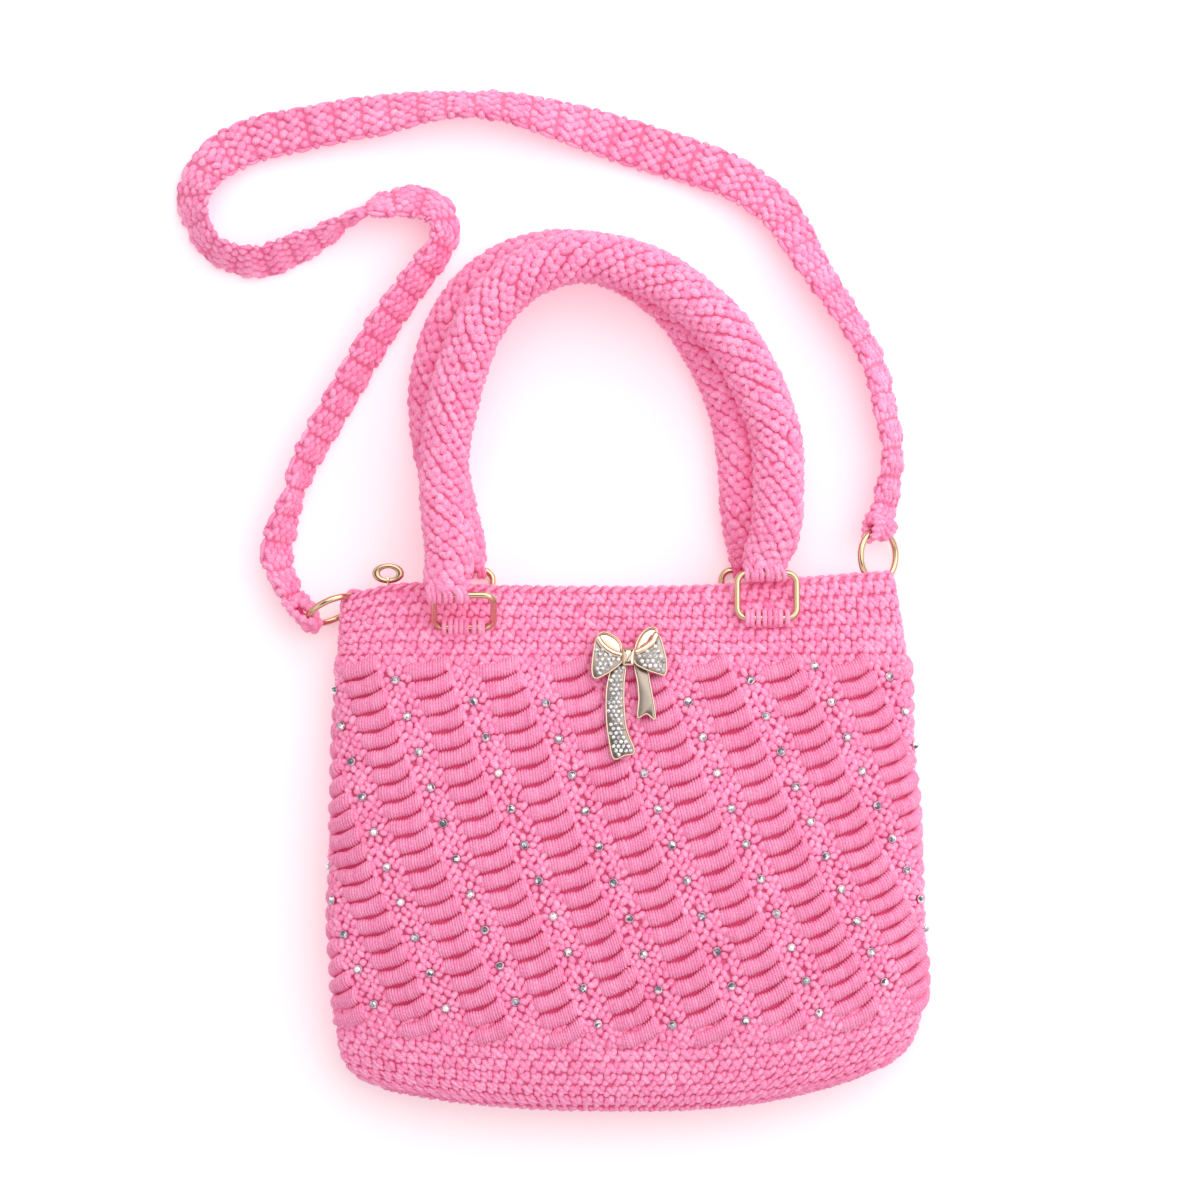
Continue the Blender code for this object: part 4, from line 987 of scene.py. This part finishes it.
def add_plate(build, outline, high, bevel, crown=0.0):
    """A plate with a rounded edge on the bag's front; high is above the ribs' crests."""
    edge = bow_edge(outline)
    rings = [on_front(edge, 0.0), on_front(edge, high - bevel),
             on_front(inset_loop(edge, bevel * 0.4), high - bevel * 0.3),
             on_front(inset_loop(edge, bevel), high)]
    if crown:
        rings.append(on_front(inset_loop(edge, bevel + 0.0012), high + crown))
    shape = len(rings), len(edge)
    build.add(np.concatenate(rings)[None], [grid_faces(*shape), end_faces(*shape)])


def cut_stone(sides, rings):
    """Corners and faces of a stone, from rings of radius, level and how far each is turned."""
    corners = [circle(sides, radius, shift) + level * Z_AXIS for radius, level, shift in rings]
    faces = grid_faces(len(rings), sides)
    triangles = np.concatenate([faces[:, [0, 1, 2]], faces[:, [0, 2, 3]]])
    return np.concatenate(corners), [triangles, end_faces(len(rings), sides)[1:]]


def paved(outline, pitch):
    """Centres of stones packed inside an outline."""
    edge = bow_edge(outline)
    low, high = edge.min(axis=0), edge.max(axis=0)
    spots = np.array([(x, y) for number, y in enumerate(np.arange(low[1], high[1], pitch * 0.88))
                      for x in np.arange(low[0] + pitch / 2 * (number % 2), high[0], pitch)])
    return spots[inside(spots, inset_loop(edge, pitch * 0.46))]


def make_bow(gold, bed, stones):
    """Bow of polished metal, with stones on the dull beds of its panels and left tail."""
    build, under, rims = Build(), Build(), []
    for outline in (LEFT_CAVE, RIGHT_CAVE):
        add_plate(build, outline, CAVE_HIGH, 0.0008)
    for outline, high, bevel, rim in ((LEFT_PANEL, PANEL_HIGH, 0.0005, PANEL_HIGH),
                                      (RIGHT_PANEL, PANEL_HIGH, 0.0005, PANEL_HIGH),
                                      (LEFT_TAIL, TAIL_HIGH, 0.0005, TAIL_HIGH),
                                      (RIGHT_TAIL, 0.0019, 0.0006, 0.0018)):
        add_plate(under, outline, high, bevel)
        rims.append((outline, rim))
    add_plate(build, KNOT, KNOT_HIGH, 0.0009, crown=0.0007)
    for outline, high in rims + [(LEFT_CAVE, CAVE_RIM), (RIGHT_CAVE, CAVE_RIM)]:
        add_tubes(build, on_front(bow_edge(outline), high)[None], RIM_THICK / 2, 8, Z_AXIS, closed=True)
    for outline, count in ((LEFT_PANEL, 5), (RIGHT_PANEL, 4)):
        steps, spots = np.linspace(0, count - 1, 20), np.arange(count)
        line = np.column_stack([np.interp(steps, spots, part) for part in bow_points(outline[:count]).T])
        add_tubes(build, on_front(line, ROLL_HIGH)[None], ROLL_THICK / 2, 10, Z_AXIS, flat=1.2)
    build.make("bow_metal", gold, "charm_metal", replaces=("bow_charm",))
    under.make("bow_bed", bed, "charm_metal")
    build = Build()
    shape, faces = cut_stone(6, ((0.5, 0.0, 0.0), (0.46, 0.16, 0.5), (0.26, 0.34, 0.0)))
    for outline, high, diameter in ((LEFT_PANEL, PANEL_HIGH, PANEL_STONE),
                                    (RIGHT_PANEL, PANEL_HIGH, PANEL_STONE),
                                    (LEFT_TAIL, TAIL_HIGH, TAIL_STONE)):
        centers = on_front(paved(outline, diameter), high - 0.0001)
        build.add(centers[:, None] + shape * diameter, faces, tone=RANDOM.uniform(0, 1, (len(centers), 1)))
    build.make("bow_stones", stones, "crystal", smooth=False)


def make_crystals(skin, spots, stones, cups):
    """Faceted stones in silver cups, one to each place along the slanted columns."""
    half = CRYSTAL / 2
    shape, faces = cut_stone(8, ((half, 0.0001, 0.0), (half, 0.0004, 0.0), (half * 0.80, 0.0013, 0.5),
                                 (half * 0.52, 0.0019, 0.0)))
    rows, shares = spots.T
    height = np.full(len(spots), CRYSTAL_LIFT)
    middle = skin.place(rows, shares, height)
    out = unit(skin.place(rows, shares, height + 0.001) - middle)
    side = unit(skin.place(rows, shares + 0.001, height) - middle)
    spin = RANDOM.uniform(0, math.tau, (len(spots), 1))
    turned = side * np.cos(spin) + np.cross(out, side) * np.sin(spin)
    tip = RANDOM.normal(0, 0.10, (len(spots), 2))
    out = unit(out + turned * tip[:, :1] + np.cross(out, turned) * tip[:, 1:])
    turned = unit(turned - out * (turned * out).sum(axis=1, keepdims=True))
    frames = np.stack([turned, np.cross(out, turned), out], axis=1)
    build, metal = Build(), Build()
    build.add(middle[:, None] + shape @ frames, faces, tone=RANDOM.uniform(0, 1, (len(spots), 1)))
    paths = middle[:, None] + circle(16, half * 0.98) @ frames
    cup = tube_grid(paths, 0.00022, 6, out[:, None], closed=True)
    metal.add(cup.reshape(len(spots), -1, 3), [grid_faces(16, 6, ring=True)])
    names = [f"crystal_string_{number:02d}" for number in range(1, len(STRINGS) + 1)]
    build.make("crystal_stones", stones, "crystal", smooth=False, replaces=names)
    metal.make("crystal_cups", cups, "charm_metal")


def feed(tree, made, inputs):
    """Set or link a node's inputs; a colour comes without its alpha."""
    for key, value in inputs.items():
        socket = made.inputs[key]
        if isinstance(value, bpy.types.NodeSocket):
            tree.links.new(value, socket)
        else:
            socket.default_value = (*value, 1) if socket.type == "RGBA" else value


def node(tree, kind, out, inputs=None, **settings):
    """One output of a new shader node, whose inputs take values or other nodes' outputs."""
    made = tree.nodes.new("ShaderNode" + kind)
    for key, value in settings.items():
        setattr(made, key, value)
    feed(tree, made, inputs or {})
    return made.outputs[out]


def mix(tree, share, low, high):
    """Colour between two, at a share."""
    return node(tree, "Mix", 2, {0: share, 6: low, 7: high}, data_type="RGBA")


def ramp(tree, share, stops, interpolation="LINEAR"):
    """Colour from stops of place and colour."""
    color = node(tree, "ValToRGB", "Color", {"Fac": share})
    scale = color.node.color_ramp
    scale.interpolation = interpolation
    for spot, (at, shade) in enumerate(stops):
        stop = scale.elements[spot] if spot < 2 else scale.elements.new(at)
        stop.position = at
        stop.color = (*shade, 1)
    return color


def new_material(name):
    """A material, its nodes and its main shader."""
    made = bpy.data.materials.new(name)
    made.use_nodes = True
    return made, made.node_tree, made.node_tree.nodes["Principled BSDF"]


def yarn_material(name, light, pale, deep):
    """Soft plied yarn: colour varies along it, its grooves and undersides take painted shade, its fibres
    raise it and a faint painted glow lifts its shadows.
    """
    made, tree, shader = new_material(name)
    place = node(tree, "TexCoord", "Object")
    held = node(tree, "Attribute", "Color", attribute_name="yarn")
    painted_shade, tone = node(tree, "SeparateColor", "Red", {"Color": held}).node.outputs[:2]
    fibre = node(tree, "TexNoise", "Fac", {"Vector": place, "Scale": 1500.0, "Detail": 3.0, "Roughness": 0.6})
    broad = node(tree, "TexNoise", "Fac", {"Vector": place, "Scale": 40.0, "Detail": 2.0})
    spread = node(tree, "MapRange", "Result", {"Value": fibre, "From Min": 0.38, "From Max": 0.64})
    tint = node(tree, "Math", "Value", {0: tone, 1: 0.16, 2: spread}, operation="MULTIPLY_ADD",
                use_clamp=True)
    shade = node(tree, "MapRange", "Result", {"Value": broad, "From Min": 0.30, "From Max": 0.70,
                                              "To Min": -0.08, "To Max": 0.08})
    # Painted shade: the attribute's red channel, varied by broad noise, mixes the colour towards the dark
    # groove colour.
    depth = node(tree, "Math", "Value", {0: painted_shade, 1: shade}, operation="ADD", use_clamp=True)
    bump = node(tree, "Bump", "Normal", {"Height": fibre, "Strength": 0.6, "Distance": 0.0005})
    # The emission is a painted glow: the yarn gives off faint pink light of its own, lifting its shadows in
    # place of light scattered inside the yarn.
    feed(tree, shader, {"Base Color": mix(tree, depth, mix(tree, tint, light, pale), deep),
                        "Roughness": 0.85, "Specular IOR Level": 0.2, "Emission Color": (1.0, 0.04, 0.25),
                        "Emission Strength": 0.11, "Sheen Weight": 0.25, "Sheen Roughness": 0.5,
                        "Normal": bump})
    return made


def metal_material(name, color, roughness):
    """Polished plating with faint polishing marks."""
    made, tree, shader = new_material(name)
    place = node(tree, "TexCoord", "Object")
    marks = node(tree, "TexNoise", "Fac", {"Vector": place, "Scale": 260.0, "Detail": 4.0})
    rough = node(tree, "MapRange", "Result", {"Value": marks, "To Min": roughness * 0.7,
                                              "To Max": roughness * 1.4})
    bright = [min(1.0, part * 1.10) for part in color]
    feed(tree, shader, {"Base Color": mix(tree, marks, color, bright), "Metallic": 1.0, "Roughness": rough})
    return made


def crystal_material(name, scale, dark, pale):
    """Foil-backed stones with painted glints: patches of base colour painted near-white, grey or dark stand
    in for faces that flash or fall dark.
    """
    made, tree, shader = new_material(name)
    place = node(tree, "TexCoord", "Object")
    glint_cells = node(tree, "TexVoronoi", "Color", {"Vector": place, "Scale": scale})
    share = node(tree, "SeparateColor", "Red", {"Color": glint_cells})
    # Painted highlights and painted dark reflections as base colour: dark, grey and near-white.
    stops = (0.0, dark), (0.26, pale), (0.55, (0.95, 0.96, 0.98))
    feed(tree, shader, {"Base Color": ramp(tree, share, stops, "CONSTANT"), "Metallic": 0.45,
                        "Roughness": 0.10})
    return made


def tape_material(name, light, deep):
    """Woven zip tape."""
    made, tree, shader = new_material(name)
    place = node(tree, "TexCoord", "Object")
    weave = node(tree, "TexWave", "Fac", {"Vector": place, "Scale": 900.0, "Distortion": 0.6})
    bump = node(tree, "Bump", "Normal", {"Height": weave, "Strength": 0.4, "Distance": 0.0002})
    feed(tree, shader, {"Base Color": mix(tree, weave, deep, light), "Roughness": 0.8, "Normal": bump})
    return made


def make_floor():
    """Pale paper floor that glows faintly pink."""
    mesh = bpy.data.meshes.new("floor")
    size = 4.0
    mesh.from_pydata([(-size, -size, 0), (size, -size, 0), (size, size, 0), (-size, size, 0)], [],
                     [(0, 1, 2, 3)])
    made, tree, shader = new_material("floor_paper")
    feed(tree, shader, {"Base Color": (0.93, 0.90, 0.91), "Roughness": 0.7,
                        "Emission Color": (1.0, 0.80, 0.85), "Emission Strength": 0.25})
    mesh.materials.append(made)
    add_object("floor", mesh)


def make_world():
    """Even white light, and a studio of light and dark bands that only the metal reflects."""
    world = bpy.data.worlds.new("studio")
    bpy.context.scene.world = world
    world.use_nodes = True
    tree = world.node_tree
    back = tree.nodes["Background"]
    feed(tree, back, {"Color": (1.0, 0.99, 0.99), "Strength": 0.62})
    place = node(tree, "TexCoord", "Generated")
    rise = node(tree, "SeparateXYZ", "Z", {"Vector": place})
    drift = node(tree, "TexNoise", "Fac", {"Vector": place, "Scale": 2.6, "Detail": 1.0})
    height = node(tree, "Math", "Value", {0: drift, 1: 0.24, 2: rise}, operation="MULTIPLY_ADD")
    share = node(tree, "Math", "Value", {0: height, 1: STUDIO_TOP}, operation="DIVIDE")
    bands = ramp(tree, share, [(at / STUDIO_TOP, shade) for at, shade in STUDIO])
    glossy = node(tree, "Background", "Background", {"Color": bands, "Strength": 1.15})
    ray = node(tree, "LightPath", "Is Glossy Ray")
    seen = node(tree, "MixShader", "Shader", {"Fac": ray, 1: back.outputs["Background"], 2: glossy})
    tree.links.new(seen, tree.nodes["World Output"].inputs["Surface"])


def make_lamp_and_camera():
    """Soft light from the upper right and a long lens overhead."""
    light = bpy.data.lights.new("window", "AREA")
    light.shape = "DISK"
    light.size = 3.2
    light.energy = 37
    light.color = (1.0, 0.99, 0.98)
    lamp = add_object("window", light)
    lamp.location = (0.75, 0.95, 1.5)
    x, y, z = np.array([0.0, 0.1, 0.0]) - np.array(lamp.location)
    lamp.rotation_euler = (math.atan2(math.hypot(x, y), -z), 0, math.atan2(y, x) - math.pi / 2)
    camera = bpy.data.cameras.new("overhead")
    camera.sensor_width = 36
    camera.lens = camera.sensor_width * (CAMERA_PLACE[2] - FOCUS_LEVEL) / VIEW_WIDTH
    camera.dof.use_dof = False
    eye = add_object("overhead", camera)
    eye.location = CAMERA_PLACE
    bpy.context.scene.camera = eye
    bpy.context.scene.view_settings.view_transform = "Standard"


make_floor()
make_world()
make_lamp_and_camera()
# Lit pink, paler pink, and the dark colour of the painted shade.
yarn = yarn_material("crochet_yarn", (0.90, 0.235, 0.465), (1.0, 0.52, 0.73), (0.60, 0.034, 0.13))
gold = metal_material("gold_plating", (0.63, 0.475, 0.31), 0.18)
bow_gold = metal_material("champagne_plating", (0.70, 0.55, 0.43), 0.16)
bow_bed = metal_material("dull_plating", (0.31, 0.26, 0.225), 0.30)
silver = metal_material("silver_cups", (0.62, 0.63, 0.66), 0.25)
# Both stone materials paint their glints and dark reflections into their colour.
stones = crystal_material("crystal_painted_glints", 520.0, (0.12, 0.15, 0.19), (0.40, 0.45, 0.51))
paving = crystal_material("paving_painted_glints", 760.0, (0.36, 0.35, 0.36), (0.62, 0.62, 0.64))
tape = tape_material("zip_tape_weave", (0.92, 0.24, 0.48), (0.70, 0.10, 0.26))

wall = wall_skin()
shell_rows = (np.linspace(INNER_ROW - INNER_DEPTH, INNER_ROW, 12), np.linspace(INNER_ROW + 0.0008, 0, 8),
              np.linspace(0.004, down_row(1.0) + BASE_CURL - 0.001, 64))
shell(wall, "bag_shell", yarn, np.concatenate(shell_rows), 204, SHELL_INSET, "bag_body", ground_painted_shade)
spots = crystal_spots()
half_way = COLUMNS // 2
for name, columns in (("ribs_first", range(half_way)), ("ribs_second", range(half_way, COLUMNS))):
    ribs = Build()
    add_ribs(ribs, wall, columns)
    ribs.make(name, yarn, "yarn")
knots = Build()
add_knots(knots, wall, spots)
add_tabs(knots)
knots.make("knot_stitches", yarn, "yarn")
bands = Build()
add_bands(bands, wall)
bands.make("band_stitches", yarn, "yarn")
make_handle("front", FRONT_HANDLE, yarn)
make_handle("back", BACK_HANDLE, yarn)
make_strap(yarn)
make_rings(gold)
make_pull(gold)
make_crystals(wall, spots, stones, silver)
make_bow(bow_gold, bow_bed, paving)
for name, finish in (("zip_tape", tape), ("zip_slider", gold), ("zip_link", gold)):
    NODES[name].data.materials.clear()
    NODES[name].data.materials.append(finish)
